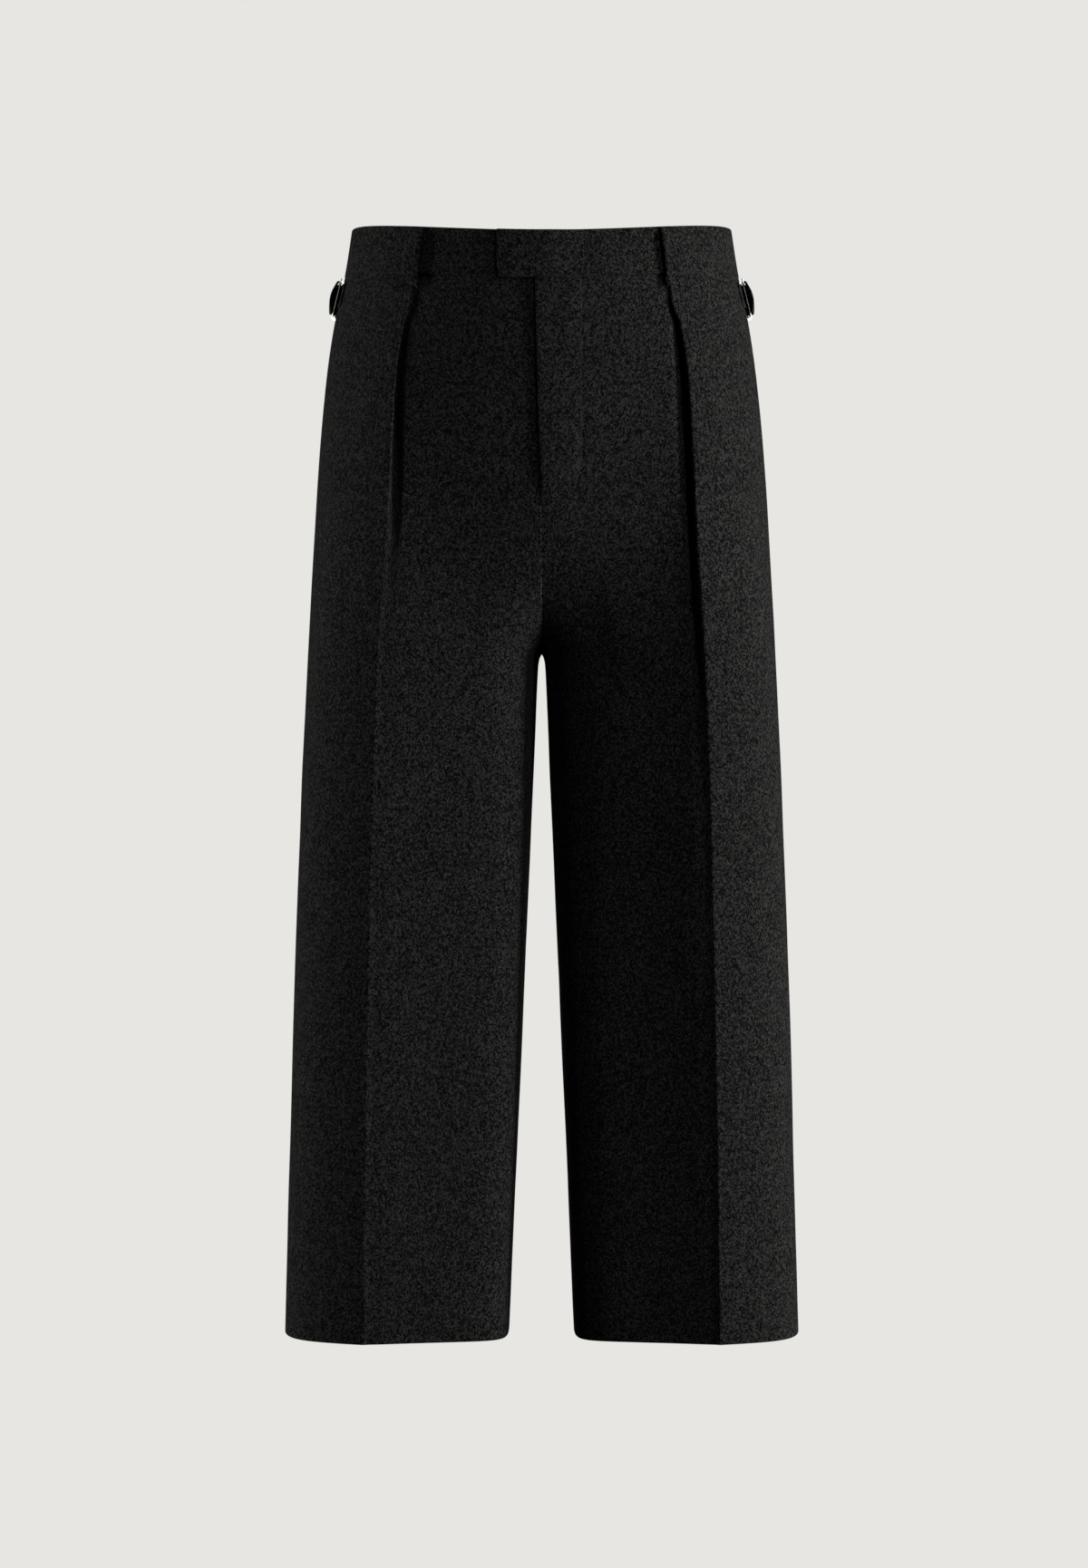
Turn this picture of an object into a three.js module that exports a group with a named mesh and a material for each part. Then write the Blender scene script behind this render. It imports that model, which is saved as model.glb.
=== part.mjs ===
// Pleated wide-leg trousers in black wool, in the hollow form that they have when worn, with no wearer
// inside. Millimetres: +X is the wearer's left, +Y the wearer's back and +Z up. The origin is the centre of
// the waist opening, level with the top edge at centre front.

import * as THREE from "three";
import { mergeVertices } from "three/addons/utils/BufferGeometryUtils.js";

// Driving sizes
const CLOTH = 1.2; // wall of the body cloth
const BAND_WALL = 2.4; // waistband: two cloths and an interlining
const SEAM = 0.3; // space left between pieces at a seam
const BAND_HEIGHT = 40;
const HEM = -939; // height of the hem
const CROTCH = -350; // height where the legs part
const SIDE_LIFT = 17; // the waist is this much higher at the side than at centre front
const BACK_LIFT = 22; // and this much higher at centre back
const LIFT_FADE = 180; // drop below the waist seam over which that lift dies away
const INSEAM_Y = 6; // the inside leg seam lies a little behind the middle
const SIDE_Y = 4; // so does the side seam
const INSEAM_AT_CROTCH = 3.3; // half the space between the legs just under the crotch
const INSEAM_AT_HEM = 29; // and at the hem
const CROTCH_ARCH = 4; // how soon the legs part below the crotch
const CROTCH_MEETS = 0.87; // above it, how much of each leg's round the middle plane cuts off, for each mm up

// Half width at the side seam, by height
const SIDE = [
  { z: 20, out: 164 },
  { z: -22, out: 170.6 },
  { z: -57, out: 178.6 },
  { z: -105, out: 185.9 },
  { z: -168, out: 191.8 },
  { z: -263, out: 197.7 },
  { z: -350, out: 202.5 },
  { z: -460, out: 207.7 },
  { z: -602, out: 213.2 },
  { z: -792, out: 219 },
  { z: HEM, out: 222.6 },
];

// Half of a front or back seen from above. depth is how far it stands from the middle plane: at the
// centre seam, and at the crease, which lies creaseX from the centre. The angles are how much the cloth
// turns away where it comes to the crease from the centre seam and where it leaves for the side.
const FRONT = [
  { z: 20, centre: 116, creaseX: 104, crease: 89, arrive: 30, leave: 33 },
  { z: -41, centre: 120.5, creaseX: 109, crease: 97, arrive: 26, leave: 31 },
  { z: -66, centre: 122, creaseX: 111, crease: 100.5, arrive: 22, leave: 30 },
  { z: -82, centre: 123, creaseX: 117.4, crease: 102.5, arrive: 19, leave: 30 },
  { z: -125, centre: 124.5, creaseX: 124, crease: 108.5, arrive: 12, leave: 29 },
  { z: -202, centre: 124.5, creaseX: 128.3, crease: 116.5, arrive: 3, leave: 27 },
  { z: -263, centre: 123, creaseX: 131, crease: 119, arrive: -4, leave: 26 },
  { z: -339, centre: 119, creaseX: 136.2, crease: 116.5, arrive: -9, leave: 25 },
  { z: -450, centre: 110, creaseX: 141, crease: 108, arrive: -12, leave: 24 },
  { z: -566, centre: 100, creaseX: 144.4, crease: 98, arrive: -13, leave: 22 },
  { z: -750, centre: 90, creaseX: 148.5, crease: 88, arrive: -13, leave: 20 },
  { z: HEM, centre: 84, creaseX: 151.2, crease: 80.5, arrive: -12.5, leave: 18 },
];
const BACK = [
  { z: 20, centre: 115, creaseX: 78, crease: 101, arrive: 19, leave: 22 },
  { z: -40, centre: 124, creaseX: 82, crease: 111, arrive: 17, leave: 20 },
  { z: -80, centre: 133, creaseX: 85, crease: 122, arrive: 13, leave: 18 },
  { z: -130, centre: 141, creaseX: 90, crease: 133.5, arrive: 7, leave: 15 },
  { z: -190, centre: 145, creaseX: 95, crease: 141, arrive: 1, leave: 13 },
  { z: -250, centre: 142, creaseX: 98, crease: 140, arrive: -3, leave: 14 },
  { z: -310, centre: 134, creaseX: 100, crease: 133, arrive: -6, leave: 16 },
  { z: -350, centre: 127, creaseX: 101, crease: 126, arrive: -8, leave: 18 },
  { z: -450, centre: 112, creaseX: 102.5, crease: 110.5, arrive: -10, leave: 20 },
  { z: -566, centre: 102, creaseX: 104, crease: 101, arrive: -12, leave: 21 },
  { z: -750, centre: 94, creaseX: 106, crease: 93, arrive: -13, leave: 21 },
  { z: HEM, centre: 88, creaseX: 108, crease: 87, arrive: -13, leave: 21 },
];
const FRONT_CURVE_TOP = -200; // the seat seam curves forward to the crotch below this height
const BACK_CURVE_TOP = -222; // and backward

// The forward pleat, which opens out into the pressed crease down the leg. The cloth comes from the centre,
// dips from its lip, valley inside the crease and proud below it, turns back on itself by the angle, runs
// deep towards the crease and turns forward again there. At 180 degrees it is a pressed fold of three layers.
// The left one stands open, and the right one lies closer.
const LEFT_PLEAT = [
  { z: -41, valley: 5, proud: 2.6, turn: 180, deep: 18 },
  { z: -62, valley: 6, proud: 2.5, turn: 178, deep: 18 },
  { z: -82, valley: 9.5, proud: 2.4, turn: 166, deep: 17 },
  { z: -99, valley: 12.4, proud: 2.5, turn: 156, deep: 15 },
  { z: -125, valley: 15, proud: 2.8, turn: 148, deep: 13 },
  { z: -164, valley: 16.4, proud: 3, turn: 140, deep: 11.5 },
  { z: -202, valley: 16.4, proud: 3.1, turn: 130, deep: 10 },
  { z: -263, valley: 15.5, proud: 3, turn: 104, deep: 7 },
  { z: -339, valley: 15, proud: 2, turn: 66, deep: 4.4 },
  { z: -420, valley: 15, proud: 0.7, turn: 24, deep: 3 },
  { z: -480, valley: 16, proud: 0, turn: 8, deep: 3 },
  { z: HEM, valley: 16, proud: 0, turn: 8, deep: 3 },
];
const RIGHT_PLEAT = [
  { z: -41, valley: 5, proud: 2.6, turn: 180, deep: 16 },
  { z: -62, valley: 6, proud: 2.5, turn: 178, deep: 14 },
  { z: -82, valley: 8, proud: 2.3, turn: 170, deep: 10 },
  { z: -99, valley: 9, proud: 2, turn: 160, deep: 7 },
  { z: -125, valley: 10.5, proud: 1.6, turn: 142, deep: 4.6 },
  { z: -164, valley: 12, proud: 1, turn: 108, deep: 3.2 },
  { z: -202, valley: 13, proud: 0.5, turn: 62, deep: 2.8 },
  { z: -263, valley: 14, proud: 0.1, turn: 22, deep: 2.8 },
  { z: -339, valley: 15, proud: 0, turn: 8, deep: 3 },
  { z: HEM, valley: 16, proud: 0, turn: 8, deep: 3 },
];
const FOLD_RADIUS = (CLOTH + 0.35) / 2; // of a pressed fold's middle line
const CREASE_SOFTER = 1.3; // how much rounder the crease gets as the pleat opens
const INNER_SOFTER = 7; // and the fold inside it
const FOLD_STEPS = 4;

// The fly: the left front runs past the centre to edge and stands raised over the right front there.
// It comes down to the front again at the fly's stitching.
const FLY = [
  { z: -40, edge: -5, raised: 2.2 },
  { z: -120, edge: -3.4, raised: 2.2 },
  { z: -190, edge: -1, raised: 2.1 },
  { z: -208, edge: 0.15, raised: 2 },
  { z: -236, edge: 0.15, raised: 0 },
  { z: -260, edge: 0.15, raised: 0 },
  { z: HEM, edge: 0.15, raised: 0 },
];
const FLY_STITCH = 33; // from the centre to the fly's stitching

// The waistband. Its left end laps over the right one, past the fly.
const BAND_IN = 0.2; // the band's middle lies this much inside the cloth's
const BAND_ROWS = [0, -20, -36, -38, -39.3, -BAND_HEIGHT + SEAM / 2];
const BAND_ACROSS = [14, 24, 34, 52, 70, 88]; // its points from the centre to the crease
const TAB_END = -37;
const TAB_ACROSS = [-30, -20, -10, -3, 4]; // points of the left end past the centre
const TAB_RAISED = BAND_WALL + 0.35;
const TAB_LEVEL = 3; // the end is raised as far as here
const TAB_LIES_DOWN = 34; // and down on the band's line from here
const TAB_CORNER = 4; // rounding of its lower corner

// Heights of the rows of points down the body, closest where the seat seam curves
const ROWS = [
  -BAND_HEIGHT - SEAM / 2, -52, -66, -82, -100, -125, -160, -190, -208, -222, -240, -265, -290, -312,
  -329, -341, -347.5, CROTCH, -358, -370, -400, -450, -520, -620, -780, HEM,
];
const CENTRE_STEPS = 8; // from the centre seam to the pleat or crease
const SIDE_STEPS = 7; // from there to the side seam
const WAIST_STEPS = 12; // from the centre to the crease where the waistband and loops lie
const HIP_STEPS = 14; // from there to the side seam where the adjusters lie

// How far a section's curves reach straight on from their ends, as shares of their own span
const FLAT_REACH = 0.36;
const INSEAM_REACH = { front: [0.92, 0.97], back: [0.62, 0.68] }; // round the inside leg at the crotch
const HEM_REACH = [0.97, 1]; // and at the hem, where the corner is nearly square
const HIP_REACH = 0.4; // forward from the side seam at the waist
const LEG_REACH = [0.78, 0.68]; // round the outside leg

// Belt loops: one over each pleat, one over each back and one at centre back. Each is sewn down at the
// waistband's top edge and below its seam, and stands off the waistband between.
const LOOP_WIDTH = 12;
const LOOP_WALL = 1.7;
const LOOP_PATH = [
  { z: -0.6, off: 2 },
  { z: -3, off: 2.6 },
  { z: -6.5, off: 4.6 },
  { z: -11, off: 5.3 },
  { z: -20, off: 5.5 },
  { z: -30, off: 5.3 },
  { z: -38, off: 4.7 },
  { z: -42.5, off: 2.9 },
  { z: -45.5, off: 1.9 },
  { z: -50, off: 1.85 },
];
const LOOPS = [
  { name: "belt_loop_front", face: "front", top: 104.5, foot: 110.5 },
  { name: "belt_loop_back", face: "back", top: 92, foot: 95 },
];

// Side adjusters, just under the waistband at each side seam. The buckle is a ring with a middle bar. A tab
// sewn to the front holds that bar, and the strap from the back passes under the rear bar and over the rest.
// In the tables, along is forward of the side seam and off is the middle line's distance from the cloth.
const ADJUSTER_ROW = -57.5; // the row of the body's points at the buckle's middle
const BUCKLE = { length: 30, height: 32, bar: 2.2, wall: 1.6, off: 2.3, corner: 2.6 };
const BUCKLE_CORNER_STEPS = 4;
const STRAP = { height: 25, wall: 1.5, rounded: 9 };
const STRAP_PATH = [
  { along: -78, off: 1.05, crown: 0 },
  { along: -24, off: 1.05, crown: 0 },
  { along: -17, off: 1.05, crown: 0 },
  { along: -12, off: 1.15, crown: 0 },
  { along: -9, off: 2, crown: 0.1 },
  { along: -6, off: 4.1, crown: 0.5 },
  { along: -3, off: 6.4, crown: 1.1 },
  { along: 0, off: 7.4, crown: 1.5 },
  { along: 5, off: 7.7, crown: 1.9 },
  { along: 10, off: 7.9, crown: 2.2 },
  { along: 15, off: 8.2, crown: 2.7 },
  { along: 19, off: 8.6, crown: 3.4 },
  { along: 23, off: 9, crown: 4.1 },
  { along: 27, off: 9.3, crown: 4.7 },
];
const STRAP_SHARES = [-1, -0.75, -0.4, 0, 0.4, 0.75, 1];
const STRAP_STOPS = [
  -78, -72, -66, -60, -54, -48, -42, -36, -30, -24, -18, -12, -9, -6, -3, 0, 4, 8, 12, 15, 18, 21, 24, 27,
];
const TAB = { height: 20, wall: 1 };
const TAB_PATH = [
  { along: 34, off: 0.85 },
  { along: 27, off: 0.85 },
  { along: 20, off: 0.85 },
  { along: 13, off: 0.85 },
  { along: 6, off: 0.9 },
  { along: 1.2, off: 1.1 },
  { along: -1.1, off: 1.35 },
  { along: -2, off: 2.2 },
  { along: -2.05, off: 3.9 },
  { along: -1.2, off: 4.75 },
  { along: 0.9, off: 4.75 },
  { along: 1.95, off: 4 },
  { along: 2.5, off: 3 },
  { along: 4.6, off: 2.3 },
];

const WOOL = { color: 0x17171a, roughness: 0.92, metalness: 0 };
const STEEL = { color: 0xc9ccd0, roughness: 0.22, metalness: 1 };

const { lerp, clamp, smoothstep, degToRad } = THREE.MathUtils;

// The value of a column at a height, on a smooth curve through the table's rows
function at(table, column, where, key = "z") {
  const rows = [...table].sort((a, b) => a[key] - b[key]);
  const x = clamp(where, rows[0][key], rows.at(-1)[key]);
  const i = clamp(rows.findIndex((r) => r[key] >= x) - 1, 0, rows.length - 2);
  const slope = (j) => {
    const a = rows[Math.max(j - 1, 0)];
    const b = rows[Math.min(j + 1, rows.length - 1)];
    return (b[column] - a[column]) / (b[key] - a[key]);
  };
  const step = rows[i + 1][key] - rows[i][key];
  const t = (x - rows[i][key]) / step;
  const [from, to] = [rows[i][column], rows[i + 1][column]];
  const [out, into] = [slope(i) * step, slope(i + 1) * step];
  const leaving = (from * (1 + 2 * t) + out * t) * (1 - t) ** 2;
  const arriving = (to * (3 - 2 * t) + into * (t - 1)) * t ** 2;
  return leaving + arriving;
}

// A direction in a section, from +x and turning back from the face by the angle
const heading = (degrees) => new THREE.Vector2(Math.cos(degToRad(degrees)), -Math.sin(degToRad(degrees)));

// How far a row is lifted at a share of the way from centre front (0) past the side (0.5) to centre back (1)
function liftAt(row, share) {
  const fade = smoothstep(row, -BAND_HEIGHT - LIFT_FADE, -BAND_HEIGHT);
  const toSide = SIDE_LIFT * smoothstep(share, 0, 0.5);
  return fade * (toSide + (BACK_LIFT - SIDE_LIFT) * smoothstep(share, 0.5, 1));
}

// Half the width at the side seam, at a row
const sideX = (z) => at(SIDE, "out", z + liftAt(z, 0.5));

// Where a leg's round starts at its inside. Above the crotch that lies beyond the middle plane.
function inseamX(z) {
  const below = CROTCH - z;
  if (below < 0) return SEAM / 2 + CROTCH_MEETS * below;
  const spread = (INSEAM_AT_HEM - INSEAM_AT_CROTCH) * (below / (CROTCH - HEM));
  return SEAM / 2 + spread + INSEAM_AT_CROTCH * (1 - Math.exp(-below / CROTCH_ARCH));
}

// The corners of half a section at a height: its inside leg, its centre seam, its crease and its side.
// flat is 0 where the panel is a leg's round and 1 where it lies flat across the body.
function cornersOf(face, z) {
  const [table, top, way] =
    face === "front" ? [FRONT, FRONT_CURVE_TOP, -1] : [BACK, BACK_CURVE_TOP, 1];
  return {
    inseam: new THREE.Vector2(inseamX(z), way * INSEAM_Y + SEAM / 2),
    centre: new THREE.Vector2(SEAM / 2, at(table, "centre", z)),
    flat: smoothstep(z, CROTCH, top),
    crease: new THREE.Vector2(at(table, "creaseX", z), at(table, "crease", z)),
    arrive: at(table, "arrive", z),
    leave: at(table, "leave", z),
    end: new THREE.Vector2(sideX(z), way * SIDE_Y + SEAM / 2),
    reach: INSEAM_REACH[face],
  };
}

function curve(from, fromWay, to, toWay, reachOut, reachIn) {
  return new THREE.CubicBezierCurve(
    from,
    from.clone().addScaledVector(fromWay, reachOut),
    to.clone().addScaledVector(toWay, -reachIn),
    to,
  );
}

// Where a curve that goes out in x passes the centre seam
function seamOn(path) {
  let [low, high] = [0, 1];
  if (path.v0.x >= SEAM / 2) return 0;
  for (let i = 0; i < 40; i++) {
    const middle = (low + high) / 2;
    if (path.getPoint(middle).x < SEAM / 2) low = middle;
    else high = middle;
  }
  return high;
}

// From the centre seam to a point near the crease. The leg's round has a corner at the inside leg, which
// gets squarer towards the hem.
function centreRun(c, to, z, steps) {
  const [across, deep] = [Math.abs(to.x - c.inseam.x), Math.abs(to.y - c.inseam.y)];
  const squarer = smoothstep(-z, 360, 800);
  const [reachOut, reachIn] = c.reach.map((reach, i) => lerp(reach, HEM_REACH[i], squarer));
  const leg = curve(c.inseam, heading(-90), to, heading(c.arrive), reachOut * deep, reachIn * across);
  const reach = FLAT_REACH * c.centre.distanceTo(to);
  const flat = curve(c.centre, heading(0), to, heading(c.arrive), reach, reach);
  const first = seamOn(leg);
  return [...Array(steps + 1).keys()].map((i) => {
    const share = i / steps;
    return leg.getPoint(lerp(first, 1, share)).lerp(flat.getPoint(share), c.flat);
  });
}

// From the crease to the side seam, fuller in the corner down the leg
function sideRun(c, from, z, steps) {
  const [across, deep] = [c.end.x - from.x, from.y - c.end.y];
  const chord = Math.hypot(across, deep);
  const full = smoothstep(-z, 40, 420);
  const out = lerp(FLAT_REACH * chord, LEG_REACH[0] * across, full);
  const into = lerp(HIP_REACH * chord, LEG_REACH[1] * deep, full);
  return curve(from, heading(c.leave), c.end, heading(90), out, into).getPoints(steps);
}

// The pleat's line from its lip to where it leaves the crease for the side, relative to the crease: x along
// the way the cloth arrives and y out of the face. Past the crease its inner layers fall away by the slope,
// as the cloth above them does.
function pleatPath(pleat, z, slope) {
  const [valley, proud, turn, deep] = ["valley", "proud", "turn", "deep"].map((name) => at(pleat, name, z));
  const opened = 1 - turn / 180;
  const creaseRadius = FOLD_RADIUS + CREASE_SOFTER * opened;
  const innerRadius = FOLD_RADIUS + INNER_SOFTER * opened ** 2;
  const round = (centre, radius, degrees) =>
    new THREE.Vector2(
      centre.x + radius * Math.cos(degToRad(degrees)),
      centre.y + radius * Math.sin(degToRad(degrees)),
    );
  const creaseCentre = new THREE.Vector2(0, -creaseRadius);
  const backFrom = round(creaseCentre, creaseRadius + innerRadius, 90 + turn);
  const innerCentre = round(backFrom, -deep, turn);
  const floor = innerCentre.y - innerRadius;
  const level = Math.min(innerCentre.x - 1, -3 * FOLD_RADIUS); // the dip ends before it passes below
  const dip = [0, 0.35, 0.7, 1].map(
    (share) => new THREE.Vector2(lerp(-valley, level, share), lerp(-proud, floor, smoothstep(share, 0, 1))),
  );
  const shares = [...Array(FOLD_STEPS + 1).keys()].map((i) => i / FOLD_STEPS);
  const inner = shares.map((share) => round(innerCentre, innerRadius, -90 + turn * share));
  const leave = at(FRONT, "leave", z) - at(FRONT, "arrive", z);
  const crease = [...shares, 1 + 1 / FOLD_STEPS].map((share) =>
    round(creaseCentre, creaseRadius, lerp(90 + turn, 90 - leave, share / (1 + 1 / FOLD_STEPS))),
  );
  for (const p of [...dip, ...inner]) p.y -= slope * Math.max(p.x, 0);
  return [...dip, ...inner, ...crease];
}

// The middle line of a front panel's section, with the pleat in it
function frontLine(pleat, z) {
  const c = cornersOf("front", z);
  const along = heading(c.arrive);
  const out = new THREE.Vector2(-along.y, along.x);
  const [from, to] = sideRun(c, c.crease, z, SIDE_STEPS);
  const above = to.clone().sub(from);
  const fold = pleatPath(pleat, z, -above.dot(out) / above.dot(along)).map((p) =>
    c.crease.clone().addScaledVector(along, p.x).addScaledVector(out, p.y),
  );
  const centre = centreRun(c, fold[0], z, CENTRE_STEPS).slice(0, -1);
  return [...centre, ...fold, ...sideRun(c, fold.at(-1), z, SIDE_STEPS).slice(1)];
}

// The middle line of a section with no pleat: the back panels, and the waistband all round
function plainLine(face, z, centreSteps, sideSteps) {
  const c = cornersOf(face, z);
  return [...centreRun(c, c.crease, z, centreSteps), ...sideRun(c, c.crease, z, sideSteps).slice(1)];
}

// The way out of a line at each of its points
function waysOut(line) {
  return line.map((_, i) => {
    const ahead = line[Math.min(i + 1, line.length - 1)];
    const behind = line[Math.max(i - 1, 0)];
    const here = line[i];
    const before = here.clone().sub(behind).normalize();
    const after = ahead.clone().sub(here).normalize();
    const along = before.add(after).normalize();
    return new THREE.Vector2(-along.y, along.x);
  });
}

// A share of the way round from centre front to centre back, by how far out a point of a section lies
function shareOf(face, point, z) {
  const out = clamp(Math.abs(point.x) / sideX(z), 0, 1);
  const toSide = (2 / Math.PI) * Math.asin(out) * 0.5;
  return face === "front" ? toSide : 1 - toSide;
}

// A closed wall between two grids of points, made to face outwards
function wall(outer, inner) {
  const [rows, columns] = [outer.length, outer[0].length];
  const points = [...outer.flat(), ...inner.flat()];
  const index = (layer, r, c) => layer * rows * columns + r * columns + c;
  const faces = [];
  const quad = (a, b, c, d) => faces.push(a, b, c, a, c, d);
  for (let r = 0; r + 1 < rows; r++) {
    for (let c = 0; c + 1 < columns; c++) {
      quad(index(0, r, c), index(0, r + 1, c), index(0, r + 1, c + 1), index(0, r, c + 1));
      quad(index(1, r, c), index(1, r, c + 1), index(1, r + 1, c + 1), index(1, r + 1, c));
    }
    for (const [c, flip] of [[0, false], [columns - 1, true]]) {
      const edge = [index(0, r, c), index(1, r, c), index(1, r + 1, c), index(0, r + 1, c)];
      quad(...(flip ? edge.reverse() : edge));
    }
  }
  for (let c = 0; c + 1 < columns; c++)
    for (const [r, flip] of [[0, false], [rows - 1, true]]) {
      const edge = [index(0, r, c), index(0, r, c + 1), index(1, r, c + 1), index(1, r, c)];
      quad(...(flip ? edge.reverse() : edge));
    }
  return facingOut(new THREE.BufferGeometry().setFromPoints(points).setIndex(faces));
}

// Turns a closed surface's faces over if they point inwards
function facingOut(geometry) {
  const p = geometry.getAttribute("position");
  const faces = geometry.getIndex().array;
  const [a, b, c] = [new THREE.Vector3(), new THREE.Vector3(), new THREE.Vector3()];
  let volume = 0;
  for (let i = 0; i < faces.length; i += 3) {
    a.fromBufferAttribute(p, faces[i]);
    b.fromBufferAttribute(p, faces[i + 1]);
    c.fromBufferAttribute(p, faces[i + 2]);
    volume += a.dot(b.cross(c));
  }
  if (volume < 0) faces.reverse();
  geometry.computeVertexNormals();
  return geometry;
}

// The same piece for the other side of the body
function mirrored(geometry) {
  return facingOut(geometry.clone().scale(-1, 1, 1));
}

// A section's point, moved or not, in the trousers' own frame. It is lifted by where it lay before it moved.
function placed(face, moved, z, side = 1, still = moved) {
  const y = face === "front" ? -moved.y : moved.y;
  return new THREE.Vector3(side * moved.x, y, z + liftAt(z, shareOf(face, still, z)));
}

// A panel of the body: rows of section points, moved out and in by half the cloth. Neither layer crosses
// the middle of the body, but for the fly, which starts beyond it.
function panel(face, lineAt, side = 1, shift = () => 0) {
  const layer = (half) =>
    ROWS.map((z) => {
      const line = lineAt(z);
      const out = waysOut(line);
      return line.map((p, i) => {
        const moved = p.clone().addScaledVector(out[i], half + shift(z, p));
        if (p.x > 0) moved.x = Math.max(moved.x, Math.min(p.x, SEAM / 2));
        return placed(face, moved, z, side, p);
      });
    });
  return wall(layer(CLOTH / 2), layer(-CLOTH / 2));
}

// The left front's line near the fly, drawn out to the fly's edge past the centre
function flyLine(z) {
  const line = frontLine(LEFT_PLEAT, z);
  const edge = at(FLY, "edge", z);
  const reach = SEAM / 2 - edge;
  return line.map((p) => {
    const share = z > CROTCH ? clamp(1 - (p.x - SEAM / 2) / FLY_STITCH, 0, 1) : 0;
    return new THREE.Vector2(p.x - reach * share, p.y);
  });
}

// How far the left front stands raised there
function flyRaised(z, p) {
  const edge = at(FLY, "edge", z);
  return at(FLY, "raised", z) * clamp(1 - (p.x - edge) / (FLY_STITCH - edge), 0, 1);
}

const backLine = (z) => plainLine("back", z, CENTRE_STEPS, SIDE_STEPS);

// The depth of a section's line at a distance from the centre
function depthAt(line, x) {
  const i = clamp(line.findIndex((p) => p.x >= x) - 1, 0, line.length - 2);
  return lerp(line[i].y, line[i + 1].y, (x - line[i].x) / (line[i + 1].x - line[i].x));
}

// Rounds a lower corner: how far the end draws in at a height above the lower edge
function cornerIn(radius, above) {
  return radius - Math.sqrt(radius ** 2 - (radius - clamp(above, 0, radius)) ** 2);
}

// The waistband of one side, from its front end round to centre back
function waistband(laps, side) {
  const raised = (face, x) =>
    laps && face === "front" ? TAB_RAISED * smoothstep(-x, -TAB_LIES_DOWN, -TAB_LEVEL) : 0;
  const tabEnd = (z) => TAB_END + cornerIn(TAB_CORNER, z - BAND_ROWS.at(-1));
  const across = (z) => [...(laps ? [tabEnd(z), ...TAB_ACROSS] : [SEAM / 2]), ...BAND_ACROSS];
  const layer = (half) =>
    BAND_ROWS.map((z) => {
      const front = plainLine("front", z, WAIST_STEPS, SIDE_STEPS);
      const edge = across(z).map((x) => new THREE.Vector2(x, depthAt(front, Math.abs(x))));
      const lines = {
        front: [...edge, ...front.slice(WAIST_STEPS)],
        back: plainLine("back", z, CENTRE_STEPS, SIDE_STEPS),
      };
      const [fore, aft] = Object.entries(lines).map(([face, line]) =>
        waysOut(line).map((out, i) => {
          const moved = line[i].clone().addScaledVector(out, half - BAND_IN + raised(face, line[i].x));
          return placed(face, moved, z, side, line[i]);
        }),
      );
      return [...fore, ...aft.slice(0, -1).reverse()];
    });
  return wall(layer(BAND_WALL / 2), layer(-BAND_WALL / 2));
}

// A place on the waist: x from the centre on one face, at a row, standing off the cloth's middle
function onWaist(face, x, z, off) {
  const line = plainLine(face, z, WAIST_STEPS, SIDE_STEPS);
  const i = clamp(line.findIndex((p) => p.x >= Math.abs(x)) - 1, 0, line.length - 2);
  const along = line[i + 1].clone().sub(line[i]).normalize();
  const here = new THREE.Vector2(x, depthAt(line, Math.abs(x)));
  const out = new THREE.Vector2(-along.y * Math.sign(x || 1), along.x);
  return placed(face, here.clone().addScaledVector(out, off), z, 1, here);
}

// A belt loop, slanting from top to foot, distances from the centre
function beltLoop(face, top, foot) {
  const layer = (half) =>
    LOOP_PATH.map(({ z, off }, i) => {
      const before = LOOP_PATH[Math.max(i - 1, 0)];
      const after = LOOP_PATH[Math.min(i + 1, LOOP_PATH.length - 1)];
      const way = new THREE.Vector2(before.z - after.z, after.off - before.off).normalize();
      const centre = lerp(top, foot, z / LOOP_PATH.at(-1).z);
      return [-0.5, 0, 0.5].map((share) =>
        onWaist(face, centre + share * LOOP_WIDTH, z + half * way.y, off + half * way.x),
      );
    });
  return wall(layer(LOOP_WALL / 2), layer(-LOOP_WALL / 2));
}

// A place on the hip: along from the side seam towards the front, at a row, off the cloth's outer face
function onHip(along, row, off) {
  const face = along > 0 ? "front" : "back";
  const line = plainLine(face, row, WAIST_STEPS, HIP_STEPS).reverse();
  let left = Math.abs(along);
  let i = 0;
  while (i < line.length - 2 && left > line[i].distanceTo(line[i + 1])) {
    left -= line[i].distanceTo(line[i + 1]);
    i += 1;
  }
  const way = line[i + 1].clone().sub(line[i]).normalize();
  const here = line[i].clone().addScaledVector(way, left);
  const out = new THREE.Vector2(way.y, -way.x);
  return placed(face, here.clone().addScaledVector(out, off + CLOTH / 2), row, 1, here);
}

// A band of cloth round a path on the hip, its ends rounded where it is given a radius
function hipBand(path, shares, height, thickness, endIn = () => 0) {
  const layer = (half) =>
    shares.map((share) =>
      path.map(({ along, off, crown = 0 }, i) => {
        const before = path[Math.max(i - 1, 0)];
        const after = path[Math.min(i + 1, path.length - 1)];
        const way = new THREE.Vector2(after.along - before.along, after.off - before.off).normalize();
        const [x, y] = [along - half * way.y, off - crown * share ** 2 + half * way.x];
        return onHip(x - endIn(share, i), ADJUSTER_ROW + share * height * 0.5, y);
      }),
    );
  return wall(layer(thickness / 2), layer(-thickness / 2));
}

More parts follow.
